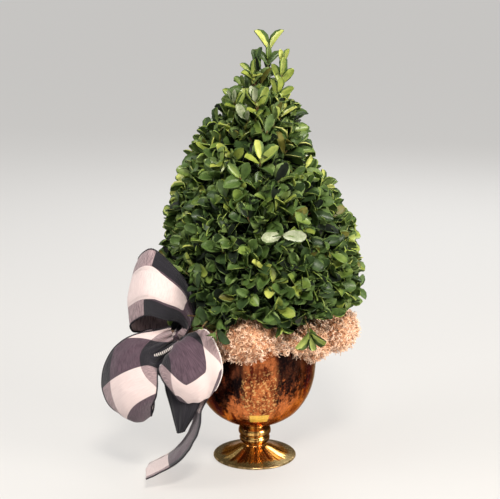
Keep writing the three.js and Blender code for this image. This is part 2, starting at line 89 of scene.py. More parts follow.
class Finish:
    """A material: one principled shader. Its fixed sockets are the same all over a piece, and nodes feed
    the others."""

    def __init__(self, name, fixed):
        self.material = bpy.data.materials.new(name)
        self.material.use_nodes = True
        self.tree = self.material.node_tree
        self.shader = self.tree.nodes["Principled BSDF"]
        self.feed(self.shader, fixed)

    def feed(self, node, inputs):
        """Links each value to its socket of the node, and sets each plain number or colour there."""
        for name, value in inputs.items():
            if isinstance(value, Value):
                self.tree.links.new(value.socket, node.inputs[name])
            else:
                node.inputs[name].default_value = value

    def node(self, kind, settings, inputs, output=0):
        """Adds a node: its settings first, then the values or links of its sockets."""
        node = self.tree.nodes.new(kind)
        for name, value in settings.items():
            setattr(node, name, value)
        self.feed(node, inputs)
        return Value(self, node.outputs[output])

    def maths(self, operation, *terms):
        """The result of a Math node's operation on the terms."""
        return self.node("ShaderNodeMath", {"operation": operation}, dict(enumerate(terms)))

    def vector(self, x, y, z):
        """A vector from three values or numbers."""
        return self.node("ShaderNodeCombineXYZ", {}, {0: x, 1: y, 2: z})

    def place(self, stretch=(1, 1, 1)):
        """Object coordinates in millimetres, stretched by a factor along each axis."""
        spot = self.node("ShaderNodeTexCoord", {}, {}, "Object")
        return self.node("ShaderNodeMapping", {}, {"Vector": spot, "Scale": [1000 * s for s in stretch]})

    def axes(self, vector):
        """The three numbers of a vector."""
        first = self.node("ShaderNodeSeparateXYZ", {}, {0: vector})
        return [Value(self, output) for output in first.socket.node.outputs]

    def noise(self, vector, size, detail=3.0, roughness=0.55):
        """Cloudy noise from 0 to 1 whose lumps are about size mm across."""
        inputs = {"Vector": vector, "Scale": 1.0 / size, "Detail": detail, "Roughness": roughness}
        return self.node("ShaderNodeTexNoise", {}, inputs)

    def mix(self, factor, first, second):
        """The first colour where the factor is 0, passing to the second where it is 1."""
        first, second = (c if isinstance(c, Value) else (*c, 1) for c in (first, second))
        return self.node("ShaderNodeMix", {"data_type": "RGBA"}, {0: factor, 6: first, 7: second}, 2)

    def bump(self, height, distance, strength=1.0):
        """The way that the surface faces where a height from 0 to 1 raises it by up to distance mm."""
        inputs = {"Height": height, "Distance": distance * 0.001, "Strength": strength}
        return self.node("ShaderNodeBump", {}, inputs)


def follow(points, t):
    """Points at the fractions t of a smooth curve through the given ones: a centripetal Catmull-Rom
    spline, so each stretch is a cubic whose end slopes come from its neighbours and their spacing."""
    points = np.asarray(points, float)
    ends = np.vstack([2 * points[:1] - points[1:2], points, 2 * points[-1:] - points[-2:-1]])
    reach = np.clip(np.asarray(t, float), 0, 1) * (len(points) - 1)
    first = np.minimum(reach.astype(int), len(points) - 2)
    w = (reach - first)[:, None]
    a, b, c, d = (ends[first + k] for k in range(4))
    ab, bc, cd = (np.sqrt(np.linalg.norm(q - p, axis=1) + 1e-9)[:, None] for p, q in ((a, b), (b, c), (c, d)))
    leave = bc * ((b - a) / ab - (c - a) / (ab + bc) + (c - b) / bc)
    arrive = bc * ((c - b) / bc - (d - b) / (bc + cd) + (d - c) / cd)
    start = (2 * w**3 - 3 * w**2 + 1) * b + (w**3 - 2 * w**2 + w) * leave
    return start + (3 * w**2 - 2 * w**3) * c + (w**3 - w**2) * arrive


def mesh_piece(name, points, faces, finishes, kinds=None, cloth=None):
    """A smooth object from points in mm and arrays of faces with three or four corners a row. Kinds
    gives each face's finish by number, and cloth each point's place on the flat cloth in mm."""
    corners = np.concatenate([block.ravel() for block in faces]).astype(np.int32)
    sizes = np.concatenate([np.full(len(block), block.shape[1]) for block in faces])
    mesh = bpy.data.meshes.new(name)
    mesh.vertices.add(len(points))
    mesh.vertices.foreach_set("co", (np.asarray(points) * 0.001).ravel())
    mesh.loops.add(len(corners))
    mesh.loops.foreach_set("vertex_index", corners)
    mesh.polygons.add(len(sizes))
    mesh.polygons.foreach_set("loop_start", np.concatenate([[0], np.cumsum(sizes)[:-1]]).astype(np.int32))
    for finish in finishes:
        mesh.materials.append(finish.material)
    if kinds is not None:
        mesh.polygons.foreach_set("material_index", np.asarray(kinds, np.int32))
    if cloth is not None:
        layer = mesh.uv_layers.new(name="Cloth")
        layer.data.foreach_set("uv", np.asarray(cloth, float)[corners].ravel())
    mesh.update(calc_edges=True)
    mesh.shade_smooth()
    piece = bpy.data.objects.new(name, mesh)
    bpy.context.collection.objects.link(piece)
    return piece


def fit(piece, slot, *nodes):
    """The piece belongs to the whole object and stands for the nodes, which are hidden. The slot is not used.
    """
    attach(piece, "root")
    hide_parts(*nodes)


def grid_faces(rows, columns, wrap=True):
    """The quads of a grid of points, row after row, that closes on itself across where it wraps."""
    row = np.arange(rows - 1)[:, None] * columns
    column = np.arange(columns if wrap else columns - 1)[None, :]
    beside = (column + 1) % columns
    quads = [row + column, row + beside, row + columns + beside, row + columns + column]
    return np.stack(quads, axis=-1).reshape(-1, 4)


def ring_faces(rows, sides):
    """The faces of a body made of rings: quads between them, and a fan of triangles over each end,
    round one more point. Those two points come after the rings."""
    ring = np.arange(sides)
    beside = (ring + 1) % sides
    top = (rows - 1) * sides
    first = np.stack([np.full(sides, rows * sides), beside, ring], axis=-1)
    last = np.stack([np.full(sides, rows * sides + 1), top + ring, top + beside], axis=-1)
    return grid_faces(rows, sides), np.concatenate([first, last])


def turned(profile, sides=BOWL_SIDES):
    """Points and faces of a body of revolution: each row of the profile, given as radius and height,
    goes round +Z. The first and last rows are on the axis and become single points."""
    angle = np.arange(sides) * 2 * np.pi / sides
    radius, height = profile[1:-1, :1], profile[1:-1, 1:]
    rings = np.stack([radius * np.cos(angle), radius * np.sin(angle), height + 0 * angle], axis=-1)
    points = np.vstack([rings.reshape(-1, 3), [[0, 0, profile[0, 1]]], [[0, 0, profile[-1, 1]]]])
    return points, ring_faces(len(rings), sides)


cup = np.array([
    [13, 36], [17, BOWL_BASE - 1.6], [28, BOWL_BASE + 1.8], [45, 53], [57.5, 71], [63, 88], [65, 105],
    [BOWL_RADIUS, 122], [BOWL_RADIUS, RIM_HEIGHT - 1.5],
])
foot_underside = np.array([[0, 0], [15, 0], [30, 0], [FOOT_RADIUS - 0.8, 0]])
foot_edge = np.array([
    [FOOT_RADIUS - 0.8, 0], [FOOT_RADIUS, 0.6], [FOOT_RADIUS, 1.6], [FOOT_RADIUS - 0.9, 2.4],
])
foot_top = np.array([[FOOT_RADIUS - 0.9, 2.4], [36, 3.7], [29, 5.6], [20, 9.8], [13.4, 13], [12.2, 14.8]])
knop = np.array([[12.2, 14.8], [14.4, 16.6], [16.1, 19.4], [16.2, 22], [15.2, 24], [15.1, 24.6]])
barrel = np.array([[15.1, 24.6], [17, 26.4], [17.4, 29], [16.6, 32.4], [14.2, 34.8], [13.4, 35.6]])
collar = np.array([[13.4, 35.6], [14.6, 37.4], [18.5, 39.2], *cup[2:]])
lip = np.array([
    [BOWL_RADIUS, RIM_HEIGHT - 1.5], [BOWL_RADIUS - 0.9, RIM_HEIGHT - 0.2],
    [BOWL_RADIUS - 2.3, RIM_HEIGHT - 0.2], [BOWL_RADIUS - GLASS, RIM_HEIGHT - 1.5],
])
inner = np.array([[r - GLASS, z + GLASS / 2] for r, z in cup[-2:1:-1]])
inside = np.array([[BOWL_RADIUS - GLASS, RIM_HEIGHT - 1.5], *inner, [0, BOWL_BASE + 2]])
# Each stretch of the profile, from the middle of the underside to the middle of the cup's floor,
# with the number of rings that it gets.
stretches = [(foot_underside, 4), (foot_edge, 6), (foot_top, 24), (knop, 14), (barrel, 14), (collar, 60)]
stretches += [(lip, 8), (inside, 30)]
bowl_profile = np.vstack([follow(line, np.linspace(0, 1, count))[:-1] for line, count in stretches])
bowl_profile = np.vstack([bowl_profile, [[0, BOWL_BASE + 2]]])

mirror = Finish("amber_mirrored_glass", {"Specular IOR Level": 0.6, "Specular Tint": (0.62, 0.42, 0.25, 1)})
spot = mirror.place()
across, deep, height = mirror.axes(spot)
radius = (across * across + deep * deep) ** 0.5
bearing = mirror.maths("ARCTAN2", deep, across)
painted_bright_fields = mirror.maths("COSINE", bearing * 3 + 4.45)
# Streaks run down the cup and specks are pinholes in the silver. Fields are the three bright sides of the
# cup, 120 degrees apart, which are painted highlights, with a painted highlight of bare gold, the flare, low
# on each. Smoke is dark tarnish and painted dark reflection above the wavering tide line, which comes lower
# on the side of the bow as painted shadow of the bow.
runs = mirror.vector(bearing * 45, height * 0.07, radius * 0.1)
streaks = mirror.noise(runs, 5.5, 4, 0.65).step(0.36, 0.64)
mottle = mirror.noise(spot, 4.5, 5, 0.72).step(0.34, 0.68)
specks = mirror.noise(spot, 1.6, 2, 0.5).step(0.61, 0.68)
on_foot = 1 - height.step(14, 16)
tide = height + 26 * (streaks - 0.5) + 24 * (mottle - 0.5) - 4 * painted_bright_fields
# Painted shadow of the bow: the tide line comes much lower on the bow's side.
tide = tide + 42 * (0 - across).step(22, 40)
# Above the tide line: dark tarnish and painted dark reflection.
smoke_and_painted_dark = tide.step(76, 90) * (1 - 0.8 * painted_bright_fields.step(0.6, 0.88))
# Painted dark reflection on the sides of the knop, barrel and collar, between the bright fields.
painted_dark_waist = (1 - painted_bright_fields.step(-0.4, 0.7)) * (1 - height.step(38, 44)) * (1 - on_foot)
# Painted highlight: the flare, bare gold low on each bright field, made less metallic so that its colour
# shows.
painted_flare = painted_bright_fields.step(0.80, 0.86) * height.step(52.5, 54) * (1 - height.step(62.5, 64))
blots = mirror.vector(bearing * 45, height * 0.45, radius * 0.3)
crackle = mirror.noise(blots, 9, 7, 0.80).step(0.42, 0.60)
amber = mirror.mix(crackle * 0.65 + streaks * 0.35, (0.11, 0.014, 0.006), (0.88, 0.27, 0.085))
tarnish_and_painted_dark = mirror.mix(crackle * (0.2 + 0.8 * streaks), (0.006, 0.003, 0.004), (0.17, 0.048, 0.022))
coloured = mirror.mix(smoke_and_painted_dark, amber, tarnish_and_painted_dark)
# Gold flecks, only on the painted bright fields.
flecks = mirror.noise(spot, 2.6, 3, 0.6).step(0.54, 0.62)
flecks = flecks * painted_bright_fields.step(0.5, 0.8) * (1 - height.step(96, 124))
coloured = mirror.mix(flecks * 0.7, coloured, (1.0, 0.58, 0.22))
coloured = mirror.mix(painted_flare * (0.65 + 0.30 * mottle), coloured, (1.0, 0.66, 0.10))
gilt = mirror.mix(streaks, (0.30, 0.12, 0.03), (1.0, 0.62, 0.20))
coloured = mirror.mix((1 - height.step(37, 40)) * (1 - on_foot), coloured, gilt)
coloured = mirror.mix(painted_dark_waist * 0.9, coloured, (0.060, 0.022, 0.008))
# The foot has three bright rays across it, painted reflections between the fields, and clear olive glass
# at its rim.
painted_rays = (0 - painted_bright_fields).step(0.90, 0.97) * radius.step(14, 17)
flared = mirror.mix(streaks, (0.10, 0.03, 0.01), (0.62, 0.27, 0.06))
coloured = mirror.mix(on_foot, coloured, mirror.mix(painted_rays, flared, (1.0, 0.66, 0.24)))
speckled = mirror.mix(specks * 0.7 * (1 - painted_rays), coloured, (0.016, 0.007, 0.004))
clear = (radius + 5 * (streaks - 0.5)).step(33, 37) * on_foot
# Painted highlight: a light line along the outer edge of the foot.
painted_rim_highlight = radius.step(42.4, 43.6) * on_foot
olive = mirror.mix(mirror.noise(spot, 10), (0.075, 0.054, 0.020), (0.18, 0.130, 0.048))
rimmed = mirror.mix(painted_rim_highlight * streaks, olive, (0.42, 0.30, 0.15))
mirror.feed(mirror.shader, {
    "Base Color": mirror.mix(clear, speckled, rimmed),
    "Metallic": (1 - clear) * (0.95 - 0.4 * specks) * (1 - 0.7 * painted_flare) + 0.6 * clear,
    "Roughness": 0.10 + 0.13 * mottle + 0.22 * specks + 0.05 * clear,
    "Normal": mirror.bump(mirror.noise(spot, 15, 2) + 0.12 * mottle, 0.9, 0.5),
})
bowl = mesh_piece("glass_bowl_blown", *turned(bowl_profile), [mirror])
fit(bowl, "mirrored_glass", "glass_bowl")

# Potting mix
# Dark crumbly peat that fills the cup to just under its rim. It was tipped in loose and pressed
# down round the trunk, so its top is uneven.
SOIL_LEVEL = RIM_HEIGHT - 2.4
GAP = 0.35
SOIL_LUMP = 1.8


def hills(x, y, size):
    """Soft lumps about size mm across and 1 mm high: a sum of waves that cross at odd angles."""
    ways = [(1.0, 0.2), (-0.4, 1.1), (0.7, -0.9), (1.3, 0.8), (-1.1, 0.5)]
    waves = [np.sin((a * x + b * y) * 2 * np.pi / size + 9 * a) for a, b in ways]
    return np.sum(waves, axis=0) / len(ways)


wall = np.array([[r - GLASS - GAP, z + GLASS / 2 + GAP] for r, z in cup[2:-1]])
soil_top = np.array([[r, SOIL_LEVEL] for r in np.linspace(BOWL_RADIUS - GLASS - GAP - 0.5, 1.5, 34)])
side = follow(wall, np.linspace(0, 1, 24))
base = [[0, BOWL_BASE + 2 + GAP], [12, BOWL_BASE + 2.2 + GAP]]
soil_points, soil_faces = turned(np.vstack([base, side, soil_top, [[0, SOIL_LEVEL]]]), 90)
soil_x, soil_y, soil_z = soil_points.T.copy()
lumps = 1.6 * hills(soil_x, soil_y, 17) + 1.1 * hills(soil_y, soil_x, 5)
soil_points[:, 2] += np.where(soil_z > SOIL_LEVEL - 0.1, np.minimum(lumps, SOIL_LUMP) - SOIL_LUMP / 3, 0)
peat = Finish("peat", {"Roughness": 0.95, "Specular IOR Level": 0.2})
spot = peat.place()
crumbs = peat.noise(spot, 2.5, 5, 0.7)
peat.feed(peat.shader, {
    "Base Color": peat.mix(crumbs.step(0.35, 0.7), (0.013, 0.008, 0.005), (0.085, 0.05, 0.028)),
    "Normal": peat.bump(crumbs, 2.0),
})
soil = mesh_piece("potting_mix_pressed", soil_points, soil_faces, [peat])
fit(soil, "potting_mix", "potting_mix")

# Trunk
# The living stem of the shrub: grey-brown wood that flares where it leaves the soil, leans a little
# to the right and tapers up through the cone. Its bark is split into fine lengthwise ridges.
TRUNK_BASE_RADIUS = 8.0
ROOT_FLARE = 6.5
TRUNK_TOP_RADIUS = 1.9
TRUNK_TOP = 372.0
trunk_foot = SOIL_LEVEL + GAP
trunk_rise = TRUNK_TOP - trunk_foot
trunk_line = np.array([
    [3, 0, trunk_foot], [3, 0, trunk_foot + 25], [3.8, 3, trunk_foot + 0.4 * trunk_rise],
    [7, 1, trunk_foot + 0.75 * trunk_rise], [11, 0, TRUNK_TOP],
])


def unit(vectors):
    """The vectors, each divided by its own length."""
    return vectors / np.maximum(np.linalg.norm(vectors, axis=-1, keepdims=True), 1e-9)


def repeated(faces, count, size):
    """The faces of many equal bodies, one after the other, with size points each."""
    start = (np.arange(count) * size)[:, None, None]
    return [(block[None] + start).reshape(-1, block.shape[1]) for block in faces]


def tubes(paths, radii, sides, relief=None):
    """Points and faces of many tapering tubes at once. Paths holds each tube's stations, and a ring
    stands square to the path at each. Relief scales the radius at each station and side."""
    paths = np.asarray(paths, float)
    count, steps = paths.shape[:2]
    along = unit(np.gradient(paths, axis=1))
    chord = unit(paths[:, -1] - paths[:, 0])
    guide = np.where(np.abs(chord[:, 1:2]) > 0.8, [[1.0, 0, 0]], [[0, 1.0, 0]])[:, None, :]
    across = unit(np.cross(guide, along))
    other = np.cross(along, across)
    angle = np.arange(sides) * 2 * np.pi / sides
    arm = across[:, :, None] * np.cos(angle)[:, None] + other[:, :, None] * np.sin(angle)[:, None]
    size = np.broadcast_to(np.asarray(radii, float), (count, steps))[:, :, None, None]
    if relief is not None:
        size = size * relief[..., None]
    rings = (paths[:, :, None] + arm * size).reshape(count, steps * sides, 3)
    points = np.concatenate([rings, paths[:, :1], paths[:, -1:]], axis=1)
    return points.reshape(-1, 3), repeated(ring_faces(steps, sides), count, points.shape[1])


bark = Finish("boxwood_bark", {"Roughness": 0.85, "Specular IOR Level": 0.3})
fissures = bark.noise(bark.place((1, 1, 0.16)), 1.6, 4, 0.65)
lichen = bark.noise(bark.place(), 9, 3, 0.6)
wood = bark.mix(fissures.step(0.3, 0.68), (0.055, 0.034, 0.02), (0.27, 0.19, 0.115))
bark.feed(bark.shader, {
    "Base Color": bark.mix(lichen.step(0.58, 0.75) * 0.5, wood, (0.30, 0.30, 0.20)),
    "Roughness": 0.72 + 0.2 * fissures,
    "Normal": bark.bump(fissures, 0.8),
})
# The radius shrinks evenly with height over a flare that dies away, seven and eleven ridges twist
# round it, and five roots stand out at its foot.
trunk_steps = np.linspace(0, 1, 150)
trunk_sides = np.arange(30) * 2 * np.pi / 30
trunk_radius = TRUNK_BASE_RADIUS + (TRUNK_TOP_RADIUS - TRUNK_BASE_RADIUS) * trunk_steps
trunk_radius = trunk_radius + ROOT_FLARE * np.exp(-28 * trunk_steps)
climb = trunk_steps[:, None] * trunk_rise
ridge = np.sin(7 * trunk_sides + 1.2 * np.sin(climb / 9)) + 0.7 * np.sin(11 * trunk_sides - climb / 6)
root_ridge = np.cos(5 * trunk_sides + 0.6) * np.exp(-22 * trunk_steps[:, None])
trunk_relief = 1 + 0.035 * ridge + 0.10 * root_ridge - 0.03
trunk_mesh = tubes(follow(trunk_line, trunk_steps)[None], trunk_radius[None], 30, trunk_relief[None])
trunk = mesh_piece("trunk_with_bark", *trunk_mesh, [bark])
fit(trunk, "bark", "trunk")

# Boughs
# The wood inside the cone. Boughs leave the trunk at the golden angle, evenly by area of the clipped
# surface, and end a little inside it, because the shears keep the whole plant to one smooth outline.
CONE_RADIUS = 108.0
CONE_AXIS_X = 4.0
CONE_FOOT = 148.0
CONE_WIDEST = 185.0
CONE_RISE = 250.0
CONE_BULGE = 1.85
SKIRT_TUCK = 0.25
CONE_DENT = 5.0
DENT_HEIGHT = 325.0
BOUGHS = 84
BOUGH_DEPTH = 30.0
BOUGH_SLOPE = 0.55
BOUGH_SAG = 9.0
chance = np.random.default_rng(41)


def cone_radius(z):
    """The clipped outline. Above CONE_WIDEST the radius falls with the share of the rise to the power
    CONE_BULGE, so it bulges and then closes to a point, and below it the foot is tucked in."""
    z = np.asarray(z, float)
    tuck = np.clip((CONE_WIDEST - z) / (CONE_WIDEST - CONE_FOOT), 0, 1.3)
    rise = np.clip((z - CONE_WIDEST) / CONE_RISE, 0, 1)
    return CONE_RADIUS * np.where(z < CONE_WIDEST, 1 - SKIRT_TUCK * tuck**2.2, 1 - rise**CONE_BULGE)


def cone_axis(z):
    """X of the middle of the cone: it steps back to the left round DENT_HEIGHT, as a bell curve."""
    return CONE_AXIS_X - CONE_DENT * np.exp(-(((z - DENT_HEIGHT) / 45) ** 2))


def even_heights(count, low, high):
    """Heights that share the clipped surface out evenly: equal steps of the radii summed up to them,
    each with 7 mm more, so that the thin top isn't bare."""
    level = np.linspace(low, high, 800)
    area = np.cumsum(cone_radius(level) + 7)
    return np.interp((np.arange(count) + 0.5) / count * area[-1], area, level)


def cone_sites(count, low, high, depth, lift):
    """Where twigs end: at the golden angle round the cone, depth mm under the clipped surface, with
    the way each one points: out from the surface, scattered, and up or down by lift."""
    z = even_heights(count, low, high)
    angle = np.arange(count) * math.pi * (3 - math.sqrt(5))
    slope = (cone_radius(z + 2) - cone_radius(z - 2)) / 4
    out = unit(np.stack([np.cos(angle), np.sin(angle), -slope], axis=-1))
    radius = cone_radius(z)
    surface = np.stack([radius * np.cos(angle) + cone_axis(z), radius * np.sin(angle), z], axis=-1)
    scatter = chance.random((count, 3)) - 0.5
    scatter[:, 2] += np.where(z < CONE_WIDEST, -lift, lift * 0.7)
    return surface - out * np.reshape(depth, (-1, 1)), unit(out + 0.8 * scatter)


def bend(start, middle, end, steps):
    """Stations along quadratic curves that leave start towards middle and arrive at end from it."""
    t = np.linspace(0, 1, steps)[None, :, None]
    return (1 - t) ** 2 * start[:, None] + 2 * t * (1 - t) * middle[:, None] + t**2 * end[:, None]


bough_tips, _ = cone_sites(BOUGHS, CONE_FOOT + 7, 386, BOUGH_DEPTH, 0.5)
fork_height = bough_tips[:, 2] - BOUGH_SLOPE * np.hypot(bough_tips[:, 0], bough_tips[:, 1])
fork_height = np.clip(fork_height, trunk_foot + 10, TRUNK_TOP - 14)
bough_feet = follow(trunk_line, (fork_height - trunk_foot) / trunk_rise)
bough_middles = bough_feet + (bough_tips - bough_feet) * 0.5 + [0, 0, -BOUGH_SAG]
bough_middles = bough_middles + (chance.random((BOUGHS, 3)) - 0.5) * 14
bough_middles[:, 2] = np.maximum(bough_middles[:, 2], SOIL_LEVEL + 8)
bough_paths = bend(bough_feet, bough_middles, bough_tips, 9)
bough_radii = np.linspace(3.1, 1.3, 9)[None] * (0.75 + 0.4 * chance.random((BOUGHS, 1)))
boughs = mesh_piece("boughs", *tubes(bough_paths, bough_radii, 7), [bark])
fit(boughs, "bark", "foliage_cone")

# Moss
# Ten clumps of preserved reindeer moss tucked round the rim to hide the soil: dry, springy and pale
# cream, each a cushion of curly forked threads over a heart whose browner colour is painted shade.
MOSS_RING = 73.0
MOSS_LEVEL = 142.0
SPRIGS = 520
SPRIG_ROOT = 5.5
TRUNK_ROOM = 22.0
# Each clump's name, the bearing where it ends and the next one starts, its size, and how much wider
# and higher than the others it sits.
moss_clumps = [
    ("moss_right", 6, 26, 11, 4), ("moss_back_right", 50, 22, 2, -2), ("moss_back", 92, 20, 0, 0),
    ("moss_back_left", 134, 22, 3, -1), ("moss_left", 174, 20, 0, -2), ("moss_by_bow", 212, 19, -2, 0),
    ("moss_behind_bow", 246, 19, -3, -2), ("moss_front_left", 286, 25, 3, 8), ("moss_front", 305, 18, 4, -2),
    ("moss_front_right", 330, 20, 3, -3),
]
bearing, moss_size, wider, higher = np.array([clump[1:] for clump in moss_clumps], float).T
moss_ends = np.radians(bearing)
moss_starts = np.concatenate([[moss_ends[-1] - 2 * np.pi], moss_ends[:-1]])
moss_middle = (moss_starts + moss_ends) / 2
moss_half = (moss_ends - moss_starts) / 2
moss_ring = MOSS_RING + wider
moss_centre = np.stack([
    moss_ring * np.cos(moss_middle), moss_ring * np.sin(moss_middle), MOSS_LEVEL + higher,
], axis=-1)
moss_axes = np.stack([moss_size, moss_ring * np.sin(moss_half) * 1.25, moss_size * 0.92], axis=-1)
# The height that the moss hangs down to, by bearing: it bares the bowl at the front and lies over its
# rim elsewhere.
moss_edge = np.array([
    [0, 0], [240, 0], [266, 122], [276, 140], [300, 139], [312, 130], [326, 119], [340, 60], [360, 0],
])


def moss_lump(way, k):
    """How far clump k reaches along a way in its own frame, as a share of its size: three waves."""
    x, y, z = way[..., 0], way[..., 1], way[..., 2]
    wave = np.sin(5 * x + 7 * moss_middle[k]) + np.sin(6 * y + 3 * z) + np.sin(7 * z - 4 * x)
    return (1 + 0.13 * wave / 3)[..., None]


def moss_turn(points, k, back=1):
    """From clump k's own frame, whose X points out from the bowl, to the object's, or back again."""
    c, s = math.cos(moss_middle[k]), back * math.sin(moss_middle[k])
    x, y, z = points[..., 0], points[..., 1], points[..., 2]
    return np.stack([c * x - s * y, s * x + c * y, z], axis=-1)


def moss_depth(points, k, extra=0.0):
    """A point's distance from the middle of clump k, as a share of the clump's size that way."""
    return np.linalg.norm(moss_turn(points - moss_centre[k], k, -1) / (moss_axes[k] + extra), axis=-1)


def bearings(points, middle_x=0.0):
    """The bearings of points in degrees round an upright line at middle_x, from +X towards +Y."""
    return np.degrees(np.arctan2(points[:, 1], points[:, 0] - middle_x)) % 360


def moss_hem(points):
    """The height that the moss hangs down to at each point: straight between those of moss_edge."""
    return np.interp(bearings(points), *moss_edge.T)


def curls(root, way, length, steps, turn):
    """Stations of threads that set out along a way and bend round into a curl, by turn in all: each is
    an arc, whose radius is its length over its turn."""
    t = np.linspace(0, 1, steps)[None, :, None]
    side = unit(np.cross(way, chance.normal(size=way.shape)))
    angle = turn[:, None, None] * t
    radius = (length / turn)[:, None, None]
    return root[:, None] + radius * (np.sin(angle) * way[:, None] + (1 - np.cos(angle)) * side[:, None])


def joined(blocks):
    """Many bodies as one mesh. Each block has points, faces, and a finish number for all of it or for
    each of its equal bodies in turn."""
    points, start = [], 0
    faces, kinds = {3: [], 4: []}, {3: [], 4: []}
    for block_points, block_faces, kind in blocks:
        kind = np.atleast_1d(kind)
        for block in block_faces:
            faces[block.shape[1]].append(block + start)
            kinds[block.shape[1]].append(np.repeat(kind, len(block) // len(kind)))
        points.append(block_points)
        start += len(block_points)
    used = [width for width in (4, 3) if faces[width]]
    all_kinds = np.concatenate([np.concatenate(kinds[width]) for width in used])
    return np.vstack(points), [np.vstack(faces[width]) for width in used], all_kinds


def moss_finish(name, dark, light):
    """Dry lichen in one tint: mealy, with the darker colour in its hollows as painted shade."""
    finish = Finish(name, {"Roughness": 0.95, "Specular IOR Level": 0.15, "Sheen Weight": 0.15})
    meal = finish.noise(finish.place(), 2.2, 4, 0.7)
    finish.feed(finish.shader, {
        "Base Color": finish.mix(meal.step(0.32, 0.66), dark, light),
        "Normal": finish.bump(meal, 0.5),
    })
    return finish


moss_finishes = [
    # The heart's browner tint is painted shade under the threads.
    moss_finish("moss_heart_painted_shade", (0.20, 0.070, 0.028), (0.76, 0.44, 0.27)),
    moss_finish("moss_cream", (0.86, 0.57, 0.40), (1.0, 0.79, 0.63)),
    moss_finish("moss_buff", (0.78, 0.46, 0.28), (0.98, 0.70, 0.49)),
    moss_finish("moss_rust_painted_shade", (0.38, 0.140, 0.055), (0.72, 0.37, 0.20)),
]
arc = np.linspace(0, np.pi, 24)
ball, ball_faces = turned(np.stack([np.sin(arc), -np.cos(arc)], axis=-1), 36)
# Sprigs stand evenly all over a clump, along a spiral from pole to pole, and only those are made that
# show: outside the bowl or above its rim, and clear of the clumps at either side. The high tufts are
# cream, and the hollows between them buff and rusty, which is painted shade.
order = np.arange(SPRIGS) + 0.5
dip = np.arccos(1 - 2 * order / SPRIGS)
spin = order * math.pi * (1 + math.sqrt(5))
sprig_way = np.stack([np.sin(dip) * np.cos(spin), np.sin(dip) * np.sin(spin), np.cos(dip)], axis=-1)
for k, clump in enumerate(moss_clumps):
    knobs = 1 + 0.06 * hills(ball[:, 0] * 20 + 9 * k, ball[:, 1] * 20 + ball[:, 2] * 13, 9)[:, None]
    heart = moss_turn(ball * moss_lump(ball, k) * knobs * moss_axes[k] * 0.88, k) + moss_centre[k]
    heart[:, 2] = np.maximum(heart[:, 2], moss_hem(heart) + 1.5 + 0.04 * heart[:, 2])
    face = unit(moss_turn(sprig_way / moss_axes[k], k))
    root = moss_centre[k] + moss_turn(sprig_way * moss_lump(sprig_way, k) * moss_axes[k], k)
    root = root - SPRIG_ROOT * face
    reach = np.hypot(root[:, 0], root[:, 1])
    shown = (reach > TRUNK_ROOM) & ((reach > BOWL_RADIUS + 1) | (root[:, 2] > RIM_HEIGHT - 3))
    shown &= root[:, 2] > moss_hem(root)
    for beside in ((k + 1) % len(moss_clumps), (k - 1) % len(moss_clumps)):
        shown &= moss_depth(root, beside) > 0.86
    root, face = root[shown], face[shown]
    count = len(root)
    tuft = 0.5 + 0.5 * hills(root[:, 0] + root[:, 2], root[:, 1] - root[:, 2], 15)
    # Painted light: every clump but the one at the right goes to darker tints, so that one shows paler.
    shade = 1.05 + 0.15 * (k > 0) - tuft + 0.3 * chance.random(count)
    # Lower tufts take darker tints: painted shade in the hollows.
    tint = 1 + np.searchsorted([0.74, 0.93], shade)
    tall = (1.8 + 5.0 * tuft + 1.0 * chance.random(count))[:, None, None] * np.array([0, 0.5, 1.0])[:, None]
    stems = root[:, None] + unit(face + 0.35 * chance.normal(size=face.shape))[:, None] * tall
    stems[:, 1] += 0.7 * chance.normal(size=(count, 3))
    blocks = [(heart, ball_faces, 0), (*tubes(stems, [[0.6, 0.55, 0.42]], 3), tint)]
    for fork in range(4):
        branch = unit(0.55 * face + unit(np.cross(face, chance.normal(size=face.shape))))
        length = 3.6 + 2.4 * chance.random(count)
        threads = curls(stems[:, 1 + fork % 2], branch, length, 4, 1.6 + 3.0 * chance.random(count))
        blocks.append((*tubes(threads, [[0.48, 0.47, 0.42, 0.3]], 3), tint))
    points, faces, kinds = joined(blocks)
    fit(mesh_piece(clump[0] + "_cushion", points, faces, moss_finishes, kinds), "moss", clump[0])

# Pick
# A florist's wire, enamelled green, that holds the bow: its end is pushed down through the moss into
# the peat and its head is twisted into the back of the knot.
WIRE_RADIUS = 1.3
wire = Finish("green_enamel", {"Specular IOR Level": 0.5})
drips = wire.noise(wire.place(), 3, 3, 0.6)
wire.feed(wire.shader, {
    "Base Color": wire.mix(drips.step(0.3, 0.7), (0.018, 0.045, 0.016), (0.045, 0.09, 0.035)),
    "Roughness": 0.35 + 0.3 * drips,
    "Normal": wire.bump(drips, 0.2),
})


def tube(line, radius, sides):
    """One even tube along a line."""
    return tubes(line[None], np.full((1, len(line)), radius), sides)


pick_stations = [[-46, -38, 146], [-58, -47, 143.4], [-70, -57, 140], [-80, -64.5, 137.4]]
pick_line = follow(pick_stations, np.linspace(0, 1, 30))
pick = mesh_piece("florists_wire", *tube(pick_line, WIRE_RADIUS, 12), [wire])
fit(pick, "wire", "bow_pick")

# Bow
# Three-inch ribbon of slubby cotton in a black and white check, with a wire in each overlocked edge:
# three puffed loops and two tails, gathered into pleats and tied at one knot.
RIBBON_WIDTH = 76.0
CLOTH = 0.5
CHECK = 88.0
THREAD_PITCH = 1.1
PLEAT_HEIGHT = 5.5
PLEAT_RUN = 30.0
EDGE_WIRE = 0.65
THREAD = 0.34
COIL_PITCH = 1.9
COIL_RADIUS = 0.85
TAIL_CLEARANCE = 1.2

